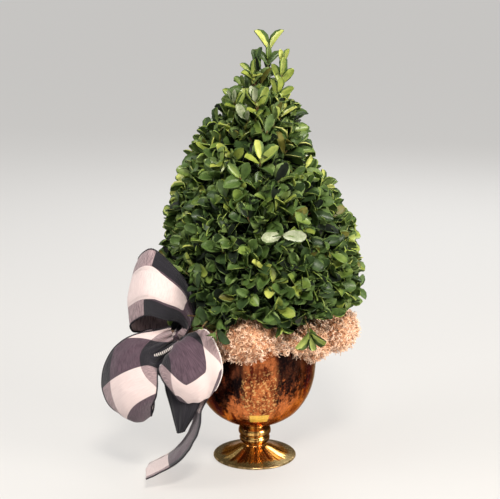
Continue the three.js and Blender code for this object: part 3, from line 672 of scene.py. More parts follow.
# Black warp runs along both edges and white along the middle. Rows of white and of black weft cross
# it, so that the cloth is white or plum in the middle and hatched or black at its sides.
cotton = Finish("checked_cotton", {"Roughness": 0.9, "Specular IOR Level": 0.2, "Sheen Weight": 0.25})
over, down, _ = cotton.axes(cotton.node("ShaderNodeUVMap", {"uv_map": "Cloth"}, {}))
warp = cotton.noise(cotton.vector(over, down * 0.07, 0), 0.6, 3, 0.6)
weft = cotton.noise(cotton.vector(over * 0.07, down, 0), 0.6, 3, 0.6)
black_warp = abs(over - RIBBON_WIDTH / 2).step(RIBBON_WIDTH / 4 - 0.4, RIBBON_WIDTH / 4 + 0.4)
row = down % CHECK
black_weft = row.step(CHECK / 2 - 0.4, CHECK / 2 + 0.4) * (1 - row.step(CHECK - 0.5, CHECK))
white = cotton.mix(weft.step(0.25, 0.75), (0.64, 0.51, 0.50), (0.76, 0.63, 0.61))
hatched = cotton.mix(weft.step(0.32, 0.62), (0.15, 0.105, 0.115), (0.37, 0.27, 0.28))
plum = cotton.mix(warp.step(0.30, 0.75), (0.050, 0.030, 0.043), (0.118, 0.072, 0.096))
black = cotton.mix(warp.step(0.35, 0.85), (0.009, 0.008, 0.012), (0.024, 0.021, 0.030))
ends = cotton.maths("SINE", over * (2 * math.pi / THREAD_PITCH))
picks = cotton.maths("SINE", down * (2 * math.pi / THREAD_PITCH))
across_white = cotton.mix(black_warp, white, hatched)
across_black = cotton.mix(black_warp, plum, black)
cotton.feed(cotton.shader, {
    "Base Color": cotton.mix(black_weft, across_white, across_black),
    "Roughness": 0.82 + 0.14 * weft,
    "Normal": cotton.bump(0.25 * ends * picks + warp + weft, 0.35),
})


def thread_finish(name, dark, light):
    """Twisted sewing thread."""
    finish = Finish(name, {"Roughness": 0.7, "Specular IOR Level": 0.3})
    twist = finish.noise(finish.place((1, 1, 2.5)), 0.8, 2, 0.5)
    finish.feed(finish.shader, {
        "Base Color": finish.mix(twist, dark, light),
        "Normal": finish.bump(twist, 0.2),
    })
    return finish


black_thread = thread_finish("black_thread", (0.006, 0.005, 0.008), (0.028, 0.024, 0.032))
white_thread = thread_finish("white_thread", (0.62, 0.54, 0.52), (0.90, 0.84, 0.80))


def run_along(line):
    """How far along a line each of its points lies: the lengths of its steps, summed up."""
    return np.concatenate([[0], np.cumsum(np.linalg.norm(np.diff(line, axis=0), axis=1))])


def ribbon_grid(stations, cups, pleats, weave, lanes, is_loop, steps, columns=30):
    """The cloth as a grid of points, the way each faces, and its place on the flat cloth. The middle
    and the width follow the stations, and the cloth bows across by cup. Near the knot the width that
    the gathers take up stands in pleats, which die away over PLEAT_RUN.

    Along the flat cloth a point lies at pitch times its run, plus slide, plus slant times its place
    across from -0.5 to 0.5, plus bow where it is near an edge: swing passes from 0 to 1 on the way
    there, the more suddenly the larger steep is. Across the flat cloth the points share out the lanes:
    the left and right limits in view, how much further each goes at the knot, and how far from the
    knot that lasts. The cloth stays TAIL_CLEARANCE above the surface that the foot stands on."""
    table = np.array(stations, float)
    t = np.linspace(0, 1, steps)
    middles = follow(table[:, :3], t)
    across = unit(follow(unit(table[:, 3:6]), t))
    shares = follow(np.column_stack([np.arange(len(table)), table[:, 6]]), t)[:, 1:]
    cup = np.interp(t, np.linspace(0, 1, len(cups)), cups)[:, None]
    facing = unit(np.cross(np.gradient(middles, axis=0), across))
    u = np.linspace(-0.5, 0.5, columns)[None]
    run = run_along(middles)[:, None]
    gathered = np.exp(-np.minimum(run, run[-1] - run if is_loop else run) / PLEAT_RUN)
    pleated = np.sin(2 * np.pi * (pleats * u + 0.2) + 0.01 * run)
    fold = PLEAT_HEIGHT * gathered * np.clip(1 - shares, 0, 0.75) ** 1.3 * pleated
    crease = 0.8 * hills(u * 60 + 11 * pleats, run, 37) + 0.35 * hills(run, u * 50, 15)
    lift = cup * (1 - 4 * u * u) * np.sqrt(shares) + fold + crease * np.sqrt(shares)
    spread = across[:, None] * (u * RIBBON_WIDTH * shares)[..., None]
    points = middles[:, None] + spread + facing[:, None] * lift[..., None]
    points[..., 2] = np.maximum(points[..., 2], TAIL_CLEARANCE)
    normal = unit(np.cross(np.gradient(points, axis=0), np.gradient(points, axis=1)))
    slide, pitch, slant, bow, steep = weave
    swing = np.clip(steep * (2 * np.abs(u) - 0.36), 0, 1)
    down = pitch * run + slide + slant * u + bow * swing * swing * (3 - 2 * swing)
    hidden = np.exp(-((run / lanes[4]) ** 2))
    low, high = lanes[0] - lanes[2] * hidden, lanes[1] + lanes[3] * hidden
    over = np.clip(low + (high - low) * (u + 0.5), 0.5, RIBBON_WIDTH - 0.5)
    return points, normal, np.stack(np.broadcast_arrays(over, down), axis=-1)


def cloth_body(points, normal):
    """A grid of cloth given its thickness: the same sheet on both sides, closed along its edges."""
    rows, columns = points.shape[:2]
    count = rows * columns
    both = np.vstack([(points + side * normal * CLOTH / 2).reshape(-1, 3) for side in (1, -1)])
    top = grid_faces(rows, columns, wrap=False)[:, ::-1]
    index = np.arange(count).reshape(rows, columns)
    rim = np.concatenate([index[0], index[1:, -1], index[-1, -2::-1], index[-2:0:-1, 0]])
    after = np.roll(rim, -1)
    edge = np.stack([after, after + count, rim + count, rim], axis=-1)
    return both, [np.vstack([top, top[:, ::-1] + count, edge])]


def overlock(line, outward, normal, pitch, radius):
    """Thread wound over an edge: a coil about the edge's line, one turn for every pitch."""
    run = run_along(line)
    fine = np.linspace(0, run[-1], int(run[-1] / pitch * 6))
    line, outward, normal = (
        np.stack([np.interp(fine, run, field[:, k]) for k in range(3)], axis=-1)
        for field in (line, outward, normal)
    )
    angle = (2 * np.pi * fine / pitch)[:, None]
    return line + radius * (np.cos(angle) * unit(outward) + np.sin(angle) * unit(normal))


def ribbon_piece(name, blocks, flat_places):
    """A piece of ribbon with its threads. The flat places are those of the cloth's own points, which
    come first, and the threads need none."""
    points, faces, kinds = joined(blocks)
    places = np.zeros((len(points), 2))
    places[:len(flat_places)] = flat_places
    return mesh_piece(name, points, faces, [cotton, black_thread, white_thread], kinds, places)


# Where the front of each loop turns into its back, and the lanes that show the cloth's whole width.
upper_turn = (-121, -52, 194, 8, 10, 64, 0.87)
lower_turn = (-119, -68, 69, 30, -8, 2, 0.38)
right_turn = (-57, -84, 95, 34, 4, 10, 0.46)
whole = (0, RIBBON_WIDTH, 0, 0, 1)
# Each stretch of ribbon: its name, the nodes that it stands for, its steps, cups and pleats, then its
# weave, which is slide, pitch, slant, bow and steep, its lanes, the finish of the thread on its two
# edges, and its stations from the knot out: a place, the way across the cloth there, and the share of
# its width that shows.
ribbon_stretches = [
    ("bow_upper_loop", ("bow_upper_front", "bow_upper_back"), 150, (-2, -6, -7, -4, -2), 4,
     (61, 0.6, 5, -25.5, 8), whole, (1, 1), [
        (-80, -64, 147, 8, -2, 8, 0.22), (-65, -62, 166, 8, 2, 18, 0.35), (-72, -65, 186, 8, 4, 38, 0.52),
        (-87, -69, 199, 6, 8, 54, 0.74), (-105, -67, 208, 5, 10, 64, 0.87), upper_turn,
        (-117, -40, 186, 13, 10, 70, 0.95), (-103, -34, 184, 11, 6, 67, 0.92),
        (-86, -38, 179, 5, 2, 52, 0.72), (-70, -47, 167, 4, 0, 26, 0.42), (-82, -56, 150, 8, 0, 8, 0.22)]),
    ("bow_lower_loop", ("bow_lower_front", "bow_lower_back"), 150, (4, 10, 12, 5, 3), 4,
     (36, 1, 54, 0, 1), (8, 50, -40, 95, 38), (1, 1), [
        (-82, -77, 153, 3, -4, -16, 0.3), (-98, -82, 145, 6, -7, -26, 0.44),
        (-115, -86, 135, 36, -18, -26, 0.66), (-123, -87, 119, 52, -24, -14, 0.8),
        (-126, -85, 100, 54, -24, -4, 0.8), (-125, -80, 83, 44, -18, 4, 0.62), lower_turn,
        (-124, -55, 76, 42, -4, -2, 0.55), (-125, -49, 98, 44, -2, -5, 0.6),
        (-114, -50, 127, 20, 0, -26, 0.56), (-101, -57, 146, 4, -2, -16, 0.28),
        (-91, -61, 146, 6, 0, -8, 0.2)]),
    ("bow_right_loop", ("bow_right_front", "bow_right_back"), 130, (5, 10, 8, 3), 3,
     (44, 1, 8, 36, 1.8), (19, 55, 25, 24, 30), (1, 2), [
        (-80, -84, 141, 8, -2, 12, 0.28), (-73, -91, 147, 42, 4, 36, 0.76), (-64, -97, 132, 52, 4, 28, 0.82),
        (-57, -95, 113, 46, 4, 20, 0.7), right_turn, (-56, -72, 105, 32, 2, 16, 0.48),
        (-62, -69, 123, 30, 0, 24, 0.5), (-74, -70, 130, 8, 0, 10, 0.25)]),
    ("bow_short_tail", ("bow_tail_short",), 70, (4, 4), 3,
     (60, 0, 0, 0, 1), (59, 75, 0, 0, 1), (1, 1), [
        (-89, -76, 121, 14, 0, 3, 0.3), (-76, -81, 112, 31, -4, 3, 0.42), (-71, -84, 97, 34, -5, 1, 0.46),
        (-72, -82, 75, 22, -6, 1, 0.3), (-75, -77, 54, 5, -2, 2, 0.1)]),
    ("bow_long_tail", ("bow_tail_long",), 110, (3, 3), 3,
     (7, 0.7, 0, 0, 1), (9, 62, 0, 0, 1), (2, 1), [
        (-76, -61, 121, 14, 0, 2, 0.3), (-64, -59, 98, 20, -8, 4, 0.45), (-58, -63, 74, 8, -52, 12, 0.74),
        (-63, -66, 50, 8, -64, 14, 0.92), (-81, -67, 25, 6, -66, 12, 0.95),
        (-110, -66, 8, 2, -66, 11, 0.95)]),
]
# Points all over the cloth, which the leaves are kept away from.
ribbon_skin = []
for name, nodes, steps, cups, pleats, weave, lanes, edge_threads, stations in ribbon_stretches:
    grid, normal, flat_place = ribbon_grid(stations, cups, pleats, weave, lanes, len(nodes) > 1, steps)
    ribbon_skin.append(grid[::3, ::4].reshape(-1, 3))
    blocks = [(*cloth_body(grid, normal), 0)]
    for column, beside, thread in ((0, 1, edge_threads[0]), (-1, -2, edge_threads[1])):
        line = grid[:, column]
        coil = overlock(line, line - grid[:, beside], normal[:, column], COIL_PITCH, COIL_RADIUS)
        blocks += [(*tube(line, EDGE_WIRE, 6), thread), (*tube(coil, THREAD, 3), thread)]
    ribbon = ribbon_piece(name, blocks, np.vstack([flat_place.reshape(-1, 2)] * 2))
    fit(ribbon, "ribbon", *nodes)
ribbon_skin = np.vstack(ribbon_skin)

# Knot
# The ribbon's own width, gathered tight and wound round the middle of the bow, with the stitches
# that hold its end showing white across the front.
KNOT = np.array([-86.0, -72.0, 135.0])
KNOT_TILT = math.radians(-32)
KNOT_WIDE, KNOT_DEEP, KNOT_TALL = 15, 11, 12
STITCH_LIFT = 0.8


def knot_skin(swing, rise):
    """Points on the knot for a swing round its upright axis and a rise from its waist: an ellipsoid
    whose radius waves nine times a turn with the rise, as tight folds do, tilted by KNOT_TILT."""
    folds = 1 + 0.07 * np.cos(9 * rise + 0.8 * np.sin(swing)) + 0.03 * np.sin(3 * swing + 1)
    local = np.stack([
        KNOT_WIDE * np.cos(rise) * np.cos(swing) * folds,
        KNOT_DEEP * np.cos(rise) * np.sin(swing) * folds,
        KNOT_TALL * np.sin(rise) * (0.6 + 0.4 * folds),
    ], axis=-1)
    c, s = math.cos(KNOT_TILT), math.sin(KNOT_TILT)
    x, z = local[..., 0], local[..., 2]
    return np.stack([c * x + s * z, local[..., 1], c * z - s * x], axis=-1) + KNOT


swing = np.arange(60) * 2 * np.pi / 60
rise = np.linspace(-np.pi / 2, np.pi / 2, 42)
poles = knot_skin(np.zeros(2), rise[[0, -1]])
knot_points = np.vstack([knot_skin(*np.meshgrid(swing, rise[1:-1])).reshape(-1, 3), poles])
_, knot_faces = turned(np.stack([np.cos(rise), np.sin(rise)], axis=-1), 60)
# The knot shows only the black of the check.
knot_places = np.column_stack([70 + 0 * knot_points[:, 0], 66 + 8 * np.sin(knot_points[:, 2] / 4)])
blocks = [(knot_points, knot_faces, 0)]
# Each stitch is a short thread that arches out by STITCH_LIFT.
stitch_t = np.linspace(0, 1, 13)
stitch_middle = follow([[-99, -88, 138.5], [-91, -90.5, 142], [-84, -90, 146], [-79, -88, 149]], stitch_t)
stitch_way = unit(np.array([[0.35, -0.25, -1.0]]))
stitches = stitch_middle[:, None] + stitch_way[:, None] * np.array([-1.5, -0.5, 0.5, 1.5])[:, None]
stitches[:, 1:3, 1] -= STITCH_LIFT
blocks.append((*tubes(stitches, [[0.42, 0.5, 0.5, 0.42]], 6), 2))
knot = ribbon_piece("bow_knot_wrap", blocks, knot_places)
fit(knot, "ribbon", "bow_knot")

# Twigs and leaves
# Fine twigs fork from the boughs and end just under the clipped surface. Each carries opposite pairs
# of small leathery leaves, every pair turned a quarter from the last, the youngest the least open.
TWIGS = 640
PAIRS = 4
LEAF = 22.5
TIP_GAP = 0.8
PAIR_GAP = 7.2
PAIR_LENGTHS = (0.86, 1.06, 1.04, 0.95)
BOW_GAP = 8.0
KNOT_ROOM = 21.0
LEAF_ROOM = 8.5
LEAF_SLACK = 7.0
FOOT_SLACK = 34.0
FOOT_TOP = 175.0
TOP_LIMIT = 455.0
# X, Z and radius of the openings at the top where the sky shows between the shoots.
SKY_GAPS = ((21, 416, 3.0), (20.5, 405, 2.6))
chance = np.random.default_rng(29)

# One leaf one unit long. Its first points are the stalk and the tip, then come five rows of five
# points across the blade, and last five points along the underside of the midrib.
leaf_rows = np.array([0.08, 0.30, 0.56, 0.80, 0.95])
leaf_half = 0.28 * np.sin(np.pi * leaf_rows**1.5) ** 0.5
leaf_across = np.array([-1.0, -0.86, 0, 0.86, 1.0])
blade_rows = np.stack(np.broadcast_arrays(leaf_rows[:, None], leaf_half[:, None] * leaf_across), axis=-1)
midrib = np.column_stack([leaf_rows, 0 * leaf_rows])
leaf_outline = np.vstack([[[0, 0], [1, 0]], blade_rows.reshape(-1, 2), midrib])
leaf_cup = np.concatenate([[0, 0], (leaf_half[:, None] * np.abs(leaf_across) ** 1.6).ravel(), 0 * leaf_rows])
leaf_crease = np.concatenate([[0, 0], np.tile([0, 0, -0.012, 0, 0], 5), [-0.042] * 5])
LEAF_MIDDLE = 14
# The tip, the middle, both edges there, and the midrib nearer the tip.
LEAF_TESTS = [1, LEAF_MIDDLE, 12, 16, 19]
# The quads cover the blade and, below it, join each margin to the midrib. The fans close both ends.
lane = np.arange(4)
low = 27 + lane
left, right = 2 + 5 * lane, 6 + 5 * lane
leaf_quads = np.vstack([
    2 + grid_faces(5, 5, wrap=False)[:, ::-1],
    np.stack([left, low, low + 1, left + 5], axis=-1),
    np.stack([low, right, right + 5, low + 1], axis=-1),
])
leaf_fans = np.vstack([
    np.stack([0 * lane, 2 + lane, 3 + lane], axis=-1),
    np.stack([0 * lane + 1, 23 + lane, 22 + lane], axis=-1),
    [[0, 27, 2], [0, 6, 27], [1, 22, 31], [1, 31, 26]],
])
# Which part of the leaf each face is: 0 the blade, 1 its margin, 2 the underside.
quad_parts = np.concatenate([np.tile([1, 0, 0, 1], 4), np.full(8, 2)])
fan_parts = np.concatenate([np.tile([1, 0, 0, 1], 2), np.full(4, 2)])


def leaves(root, along, face, length, width, cup, arch):
    """Points of many leaves: one blunt oval outline, drawn along its own way and scaled to length
    and width, with its edges raised by cup, its tip bent by arch, and a crease along the midrib."""
    side = np.cross(face, along)
    x = leaf_outline[None, :, 0]
    y = width[:, None] * leaf_outline[None, :, 1]
    z = cup[:, None] * leaf_cup + leaf_crease - arch[:, None] * x**2
    local = np.stack(np.broadcast_arrays(x, y, z), axis=-1) * length[:, None, None]
    leaf_axes = np.stack([along, side, face], axis=1)
    return root[:, None] + local @ leaf_axes


def is_free(points):
    """Whether points keep inside the clipped outline and out of the moss, bowl, bow and sky gaps. They
    may pass the outline by LEAF_SLACK, and by FOOT_SLACK where sprigs hang over the moss. Only points
    on the bow's side are measured from its cloth."""
    x, y, z = points.T
    out = np.hypot(x - cone_axis(z), y)
    inside = (out < cone_radius(z) + np.where(z < FOOT_TOP, FOOT_SLACK, LEAF_SLACK)) | (z > TRUNK_TOP)
    free = (z < TOP_LIMIT) & (z > CONE_FOOT - 10) & inside
    free &= (np.hypot(x, y) > BOWL_RADIUS + 2) | (z > RIM_HEIGHT + 2)
    free &= np.linalg.norm(points - KNOT, axis=1) > KNOT_ROOM
    for k in range(len(moss_clumps)):
        free &= moss_depth(points, k, -1.0) > 1
    for gap_x, gap_z, gap_radius in SKY_GAPS:
        free &= np.hypot(x - gap_x, z - gap_z) > gap_radius
    near = np.flatnonzero(free & (x < -30) & (y < 5) & (z < 250))
    gap = np.linalg.norm(points[near, None] - ribbon_skin[None], axis=-1).min(axis=1)
    free[near[gap < BOW_GAP]] = False
    return free


# A twig ends within some 36 mm of the surface and starts on the nearest bough, or on the leader at
# the top. The cone has a shallow hollow at the right, and towards the top its twigs point upwards.
twig_depth = 12.5 + 24 * chance.random(TWIGS) ** 2.1 - 5 * (chance.random(TWIGS) > 0.94)
twig_tips, twig_ways = cone_sites(TWIGS, CONE_FOOT + 3, 423, twig_depth, 0.55)
nearest = np.argmin(np.linalg.norm(twig_tips[:, None] - bough_tips[None], axis=-1), axis=1)
twig_feet = bough_paths[nearest, chance.integers(4, 9, TWIGS)]
leader = np.array([[11, 0, TRUNK_TOP - 2], [12.5, -0.5, 404], [14, -1, 434]])
twig_tips[:, 0] -= 9 * np.exp(-(((twig_tips[:, 2] - 322) / 24) ** 2)) * np.clip(twig_tips[:, 0] / 50, 0, 1)
twig_ways[:, 2] += np.clip((twig_tips[:, 2] - 230) / 130, 0, 1) * 0.7
twig_ways = unit(twig_ways)
top_twigs = twig_tips[:, 2] > 378
top_reach = np.clip((twig_tips[:, 2] - 12 - TRUNK_TOP) / 62, 0, 0.85) * (0.4 + 0.6 * chance.random(TWIGS))
twig_feet[top_twigs] = follow(leader, top_reach)[top_twigs]
twig_reach = np.linalg.norm(twig_tips - twig_feet, axis=-1, keepdims=True)
twig_middles = twig_tips - twig_ways * 0.45 * twig_reach
# Twigs deeper under the surface get lower tones and so darker leaves: painted shade.
twig_tone = np.clip(chance.random(TWIGS) - np.clip(twig_depth - 16, 0, 20) / 30, 0, 1)
twig_turn = chance.random(TWIGS) * np.pi
twig_pairs = np.where(top_twigs, np.where(np.arange(TWIGS) % 2, 2, 1), PAIRS)
twig_leaf = np.where(top_twigs, 20, LEAF * (0.88 + 0.24 * chance.random(TWIGS)))
twig_spread = np.full(TWIGS, 0.75)
twig_lean = np.zeros(TWIGS)

# Shoots that stand out of the outline or catch the eye, each from where it leaves the wood, through
# a middle, to its tip: pairs of leaves, leaf length, turn of the last pair, spread, tone, and how far
# the leaves' faces turn to the front. A tone of 1 is bright, 2 is the newest growth, 3 is silvery,
# pale as a painted highlight.
shoots = [
    ((14, -1, 420), (14, -1, 427), (14, -1, 432), 1, 32, 1.57, 0.58, 2.0, 0.45),
    ((11, 0, 372), (12, -1, 396), (13.5, -1, 424), 4, 19, 0.0, 0.5, 0.4, 0.9),
    ((14, -1, 374), (25, -3, 378), (28, -4, 419), 5, 21, 1.57, 0.3, 2.0, 0.9),
    ((11, -1, 392), (4, -5, 402), (2.5, -5, 420), 2, 20, 1.57, 0.35, 0.05, 0.9),
    ((11, -1, 382), (0, -8, 392), (-3, -8, 408), 2, 20, 1.2, 0.6, 1.0, 0.9),
    ((10, -1, 376), (-6, -6, 382), (-11, -8, 396), 2, 20, 0.8, 0.6, 0.45, 0.9),
    ((9, -2, 352), (5, -24, 362), (3, -30, 379), 3, 24, 0.9, 0.75, 1.0, 0.7),
    ((5, -24, 362), (2, -28, 372), (0, -31, 384), 1, 22, 0.4, 0.3, 3.0, 1.2),
    ((8, -2, 352), (-14, -22, 366), (-18, -28, 381), 3, 23, 0.8, 0.7, 1.0, 0.6),
    ((-14, -22, 366), (-19, -26, 374), (-21, -29, 383), 1, 20, 1.2, 0.3, 3.0, 1.2),
    ((-2, -26, 352), (-6, -36, 360), (-8, -41, 367), 1, 22, 1.0, 0.4, 3.0, 1.2),
    ((-20, -30, 322), (-30, -40, 328), (-34, -46, 333), 1, 24, 1.3, 0.4, 3.0, 1.2),
    ((-6, -46, 300), (-12, -60, 306), (-15, -67, 313), 2, 24, 0.7, 0.8, 0.70, 0.8),
    ((6, -26, 344), (10, -40, 350), (12, -46, 356), 2, 22, 1.3, 0.8, 0.50, 0.6),
    ((18, -46, 256), (22, -60, 258), (26, -87, 259.5), 1, 28, 1.57, 3.4, 3.0, 1.2),
    ((48, -4, 282), (58, -6, 288), (67, -8, 296), 2, 21, 1.3, 0.9, 2.0, 0.6),
    ((-50, -6, 292), (-58, -8, 298), (-62, -10, 306), 2, 20, 1.3, 0.9, 0.6, 0.6),
    ((80, -10, 186), (94, -12, 186), (103, -14, 188), 2, 20, 1.3, 0.9, 0.5, 0.6),
    ((44, -62, 174), (52, -90, 177), (54, -98, 159), 3, 19, 0.4, 0.8, 1.0, 0.6),
    ((-50, -60, 185), (-62, -76, 190), (-70, -86, 196), 3, 20, 0.5, 0.8, 0.55, 0.5),
    ((-46, -62, 172), (-58, -80, 176), (-66, -90, 180), 3, 20, 1.1, 0.8, 0.75, 0.5),
    ((-36, -70, 176), (-46, -90, 178), (-52, -99, 170), 3, 19, 0.2, 0.8, 0.5, 0.5),
    ((-28, -74, 170), (-36, -94, 172), (-42, -100, 160), 3, 18, 1.3, 0.8, 0.4, 0.5),
]
twig_fields = (
    twig_feet, twig_middles, twig_tips, twig_pairs, twig_leaf, twig_turn, twig_spread, twig_tone, twig_lean,
)
feet, middles, tips, pairs, leaf_size, turns, spreads, tones, leans = (
    np.concatenate([field, [shoot[k] for shoot in shoots]]) for k, field in enumerate(twig_fields)
)


def leaf_finish(name, dark, light, roughness, wax):
    """A leaf surface in one tint, very finely veined and cloudy between a dark and a light. The more
    wax it has, the stronger its gloss is."""
    finish = Finish(name, {"Specular IOR Level": wax})
    cloud = finish.noise(finish.place(), 7, 3, 0.6)
    veins = finish.noise(finish.place((1, 1, 0.4)), 1.1, 3, 0.6)
    finish.feed(finish.shader, {
        "Base Color": finish.mix((cloud + 0.3 * veins).step(0.45, 0.85), dark, light),
        "Roughness": roughness + 0.2 * cloud,
        "Normal": finish.bump(veins, 0.12),
    })
    return finish


# Each tint has a name, its dark and light colour, roughness and wax. The blades' first six run from
# the leaves in the shade to the newest growth.
blade_tints = [
    ("leaf_shaded", (0.007, 0.010, 0.007), (0.014, 0.022, 0.012), 0.40, 0.20),
    ("leaf_deep", (0.022, 0.042, 0.014), (0.042, 0.076, 0.023), 0.30, 0.35),
    ("leaf_green", (0.050, 0.092, 0.021), (0.090, 0.150, 0.034), 0.26, 0.50),
    ("leaf_fresh", (0.108, 0.170, 0.030), (0.185, 0.255, 0.050), 0.25, 0.60),
    ("leaf_bright", (0.215, 0.280, 0.042), (0.330, 0.385, 0.075), 0.27, 0.65),
    ("leaf_new", (0.335, 0.385, 0.060), (0.480, 0.510, 0.120), 0.30, 0.65),
    ("leaf_olive", (0.085, 0.085, 0.014), (0.150, 0.140, 0.026), 0.34, 0.35),
    # Painted highlight: the pale silvery tint.
    ("leaf_painted_gloss", (0.170, 0.215, 0.105), (0.370, 0.400, 0.270), 0.24, 0.55),
]
margin_tints = [
    ("margin_lime", (0.210, 0.300, 0.045), (0.340, 0.430, 0.085), 0.34, 0.50),
    ("margin_straw", (0.340, 0.360, 0.090), (0.490, 0.500, 0.160), 0.38, 0.50),
]
underside_tints = [
    ("underside_sage", (0.055, 0.100, 0.022), (0.090, 0.145, 0.036), 0.5, 0.2),
    ("underside_pale", (0.110, 0.170, 0.045), (0.170, 0.240, 0.070), 0.5, 0.3),
]
leaf_finishes = [leaf_finish(*tint) for tint in blade_tints + margin_tints + underside_tints]
BRIGHT, NEW, OLIVE, PAINTED_GLOSS, LIME, STRAW, SAGE = range(4, 11)
tone_steps = np.array([0.36, 0.62, 0.84, 0.98])
# Where the foliage ends above the moss, by bearing: lowest at the middle of the front and by the bow.
skirt = np.array([
    [0, 169], [40, 158], [80, 166], [120, 156], [160, 165], [200, 158], [221, 149], [237, 154],
    [248, 160], [253, 170], [260, 173], [268, 172], [274, 164], [280, 158], [287, 153], [292, 157],
    [297, 166], [304, 171], [315, 172], [334, 172], [360, 169],
])
reach = np.linalg.norm(tips - feet, axis=-1)
guide = np.where(np.abs(unit(tips - feet)[:, :1]) > 0.8, [[0, 0, 1.0]], [[1.0, 0, 0]])


def pair_stems(twig, pair):
    """Where a pair, counted from the tip, sits on each twig, the way that the wood runs there, and two
    ways square to that. The twig is the curve that bend draws, and t is the share of it up to there."""
    t = np.clip(1 - (TIP_GAP + PAIR_GAP * pair * leaf_size[twig] / LEAF) / reach[twig], 0.08, 1)[:, None]
    start, middle, end = feet[twig], middles[twig], tips[twig]
    place = (1 - t) ** 2 * start + 2 * t * (1 - t) * middle + t**2 * end
    stem = unit((1 - t) * (middle - start) + t * (end - middle))
    first = unit(np.cross(stem, guide[twig]))
    return place, stem, first, np.cross(stem, first)


def half_pairs(twig, pair, sign, place, stem, first, second):
    """One leaf of the pair on each twig, at the side that sign tells. The pair is turned a quarter from
    the last and opens the wider the further it is from the tip. Each leaf is scattered a little, less
    on the single shoots, and is narrower towards the top of the cone."""
    count = len(twig)
    loose = np.where(twig < TWIGS, 1, 0.3)
    angle = (turns[twig] + pair * np.pi / 2 + 0.5 * loose * (chance.random(count) - 0.5))[:, None]
    out = sign * (np.cos(angle) * first + np.sin(angle) * second)
    opened = spreads[twig] * (1 + 0.5 * min(pair, 3)) * (1 + 0.4 * loose * (chance.random(count) - 0.5))
    along = unit(stem + opened[:, None] * out + 0.12 * loose[:, None] * chance.normal(size=out.shape))
    to_front = leans[twig][:, None] * np.array([0, -1.0, 0])
    face = unit(stem + to_front + 0.2 * loose[:, None] * chance.normal(size=out.shape))
    face = unit(face - np.sum(face * along, axis=-1, keepdims=True) * along)
    length = leaf_size[twig] * (0.85 + 0.25 * chance.random(count)) * PAIR_LENGTHS[min(pair, 3)]
    width = np.clip(1.14 - (place[:, 2] - 250) / 400, 0.74, 1.14) * (0.88 + 0.24 * chance.random(count))
    cup = 0.35 + 0.8 * chance.random(count)
    arch = 0.45 * chance.random(count) - 0.2
    return leaves(place, along, face, length, width, cup, arch)


def leaf_colours(twig, pair, height):
    """The finishes of each leaf's blade, margin and underside. The blade follows its twig's tone, which
    rises towards the top, and is darker away from the tip of the twig, as painted shade. A few are
    olive, and a few silvery, pale as painted highlights.
    Three in four of the greener ones near the tip have a pale margin."""
    count = len(twig)
    is_shoot = twig >= TWIGS
    tone = tones[twig] + np.clip((height - 260) / 650, 0, 0.22) * (tones[twig] < 1)
    # Painted shade: pairs further from the tip, deeper in, drop to darker tints, here and for the shoots
    # below.
    level = np.searchsorted(tone_steps, tone) + 1 - (pair > 0) - 2 * (pair > 1)
    level = np.clip(level + chance.choice([-1, 0, 0, 0, 1], count), 0, NEW)
    shoot_level = np.clip(NEW * tone, 0, NEW).astype(int) - (pair > 0)
    level = np.where(tone == 1, BRIGHT - (pair > 1), np.where(is_shoot, shoot_level, level))
    level = np.maximum(level, int(pair == 0))
    blade = np.where((chance.random(count) > 0.97) & ~is_shoot, OLIVE, level)
    # Silvery leaves are pale as painted highlights.
    blade = np.where((tone >= 3) | (chance.random(count) > 0.996), PAINTED_GLOSS, blade)
    edged = chance.random(count)
    margin = np.where(edged < 0.62, LIME, np.where(edged < 0.75, STRAW, blade))
    margin = np.where((blade < BRIGHT) & (pair < 2), margin, blade)
    return np.stack([blade, margin, SAGE + chance.choice([0, 0, 1], count)], axis=-1)


leaf_points, leaf_kinds, leaf_twigs = [], [], []
for pair in range(pairs.max()):
    twig = np.flatnonzero(pairs > pair)
    place, *stem_ways = pair_stems(twig, pair)
    skirt_height = np.interp(bearings(place, CONE_AXIS_X), *skirt.T)
    for sign in (-1, 1):
        body = half_pairs(twig, pair, sign, place, *stem_ways)
        tests = body[:, LEAF_TESTS]
        kept = is_free(tests.reshape(-1, 3)).reshape(len(twig), -1).all(axis=1)
        kept &= (twig >= TWIGS) | (tests[..., 2].min(axis=1) > skirt_height)
        leaf_points.append(body[kept])
        leaf_kinds.append(leaf_colours(twig, pair, place[:, 2])[kept])
        leaf_twigs.append(twig[kept])
leaf_points, leaf_kinds, leaf_twigs = map(np.concatenate, (leaf_points, leaf_kinds, leaf_twigs))
# The shoots' leaves have room round them: the others that come too near are left off.
on_shoot = leaf_twigs >= TWIGS
leaf_middle = leaf_points[:, LEAF_MIDDLE]
nearness = np.linalg.norm(leaf_middle[:, None] - leaf_middle[on_shoot][None], axis=-1).min(axis=1)
roomy = on_shoot | (nearness > LEAF_ROOM)
leaf_points, leaf_kinds = leaf_points[roomy], leaf_kinds[roomy]
by_height = np.argsort(leaf_points[:, 0, 2], kind="stable")
for name, group in zip(("leaves_low", "leaves_middle", "leaves_high"), np.array_split(by_height, 3)):
    faces = repeated([leaf_quads, leaf_fans], len(group), len(leaf_outline))
    kinds = np.concatenate([leaf_kinds[group][:, parts].ravel() for parts in (quad_parts, fan_parts)])
    piece = mesh_piece(name, leaf_points[group].reshape(-1, 3), faces, leaf_finishes, kinds)
    fit(piece, "foliage", "foliage_cone")

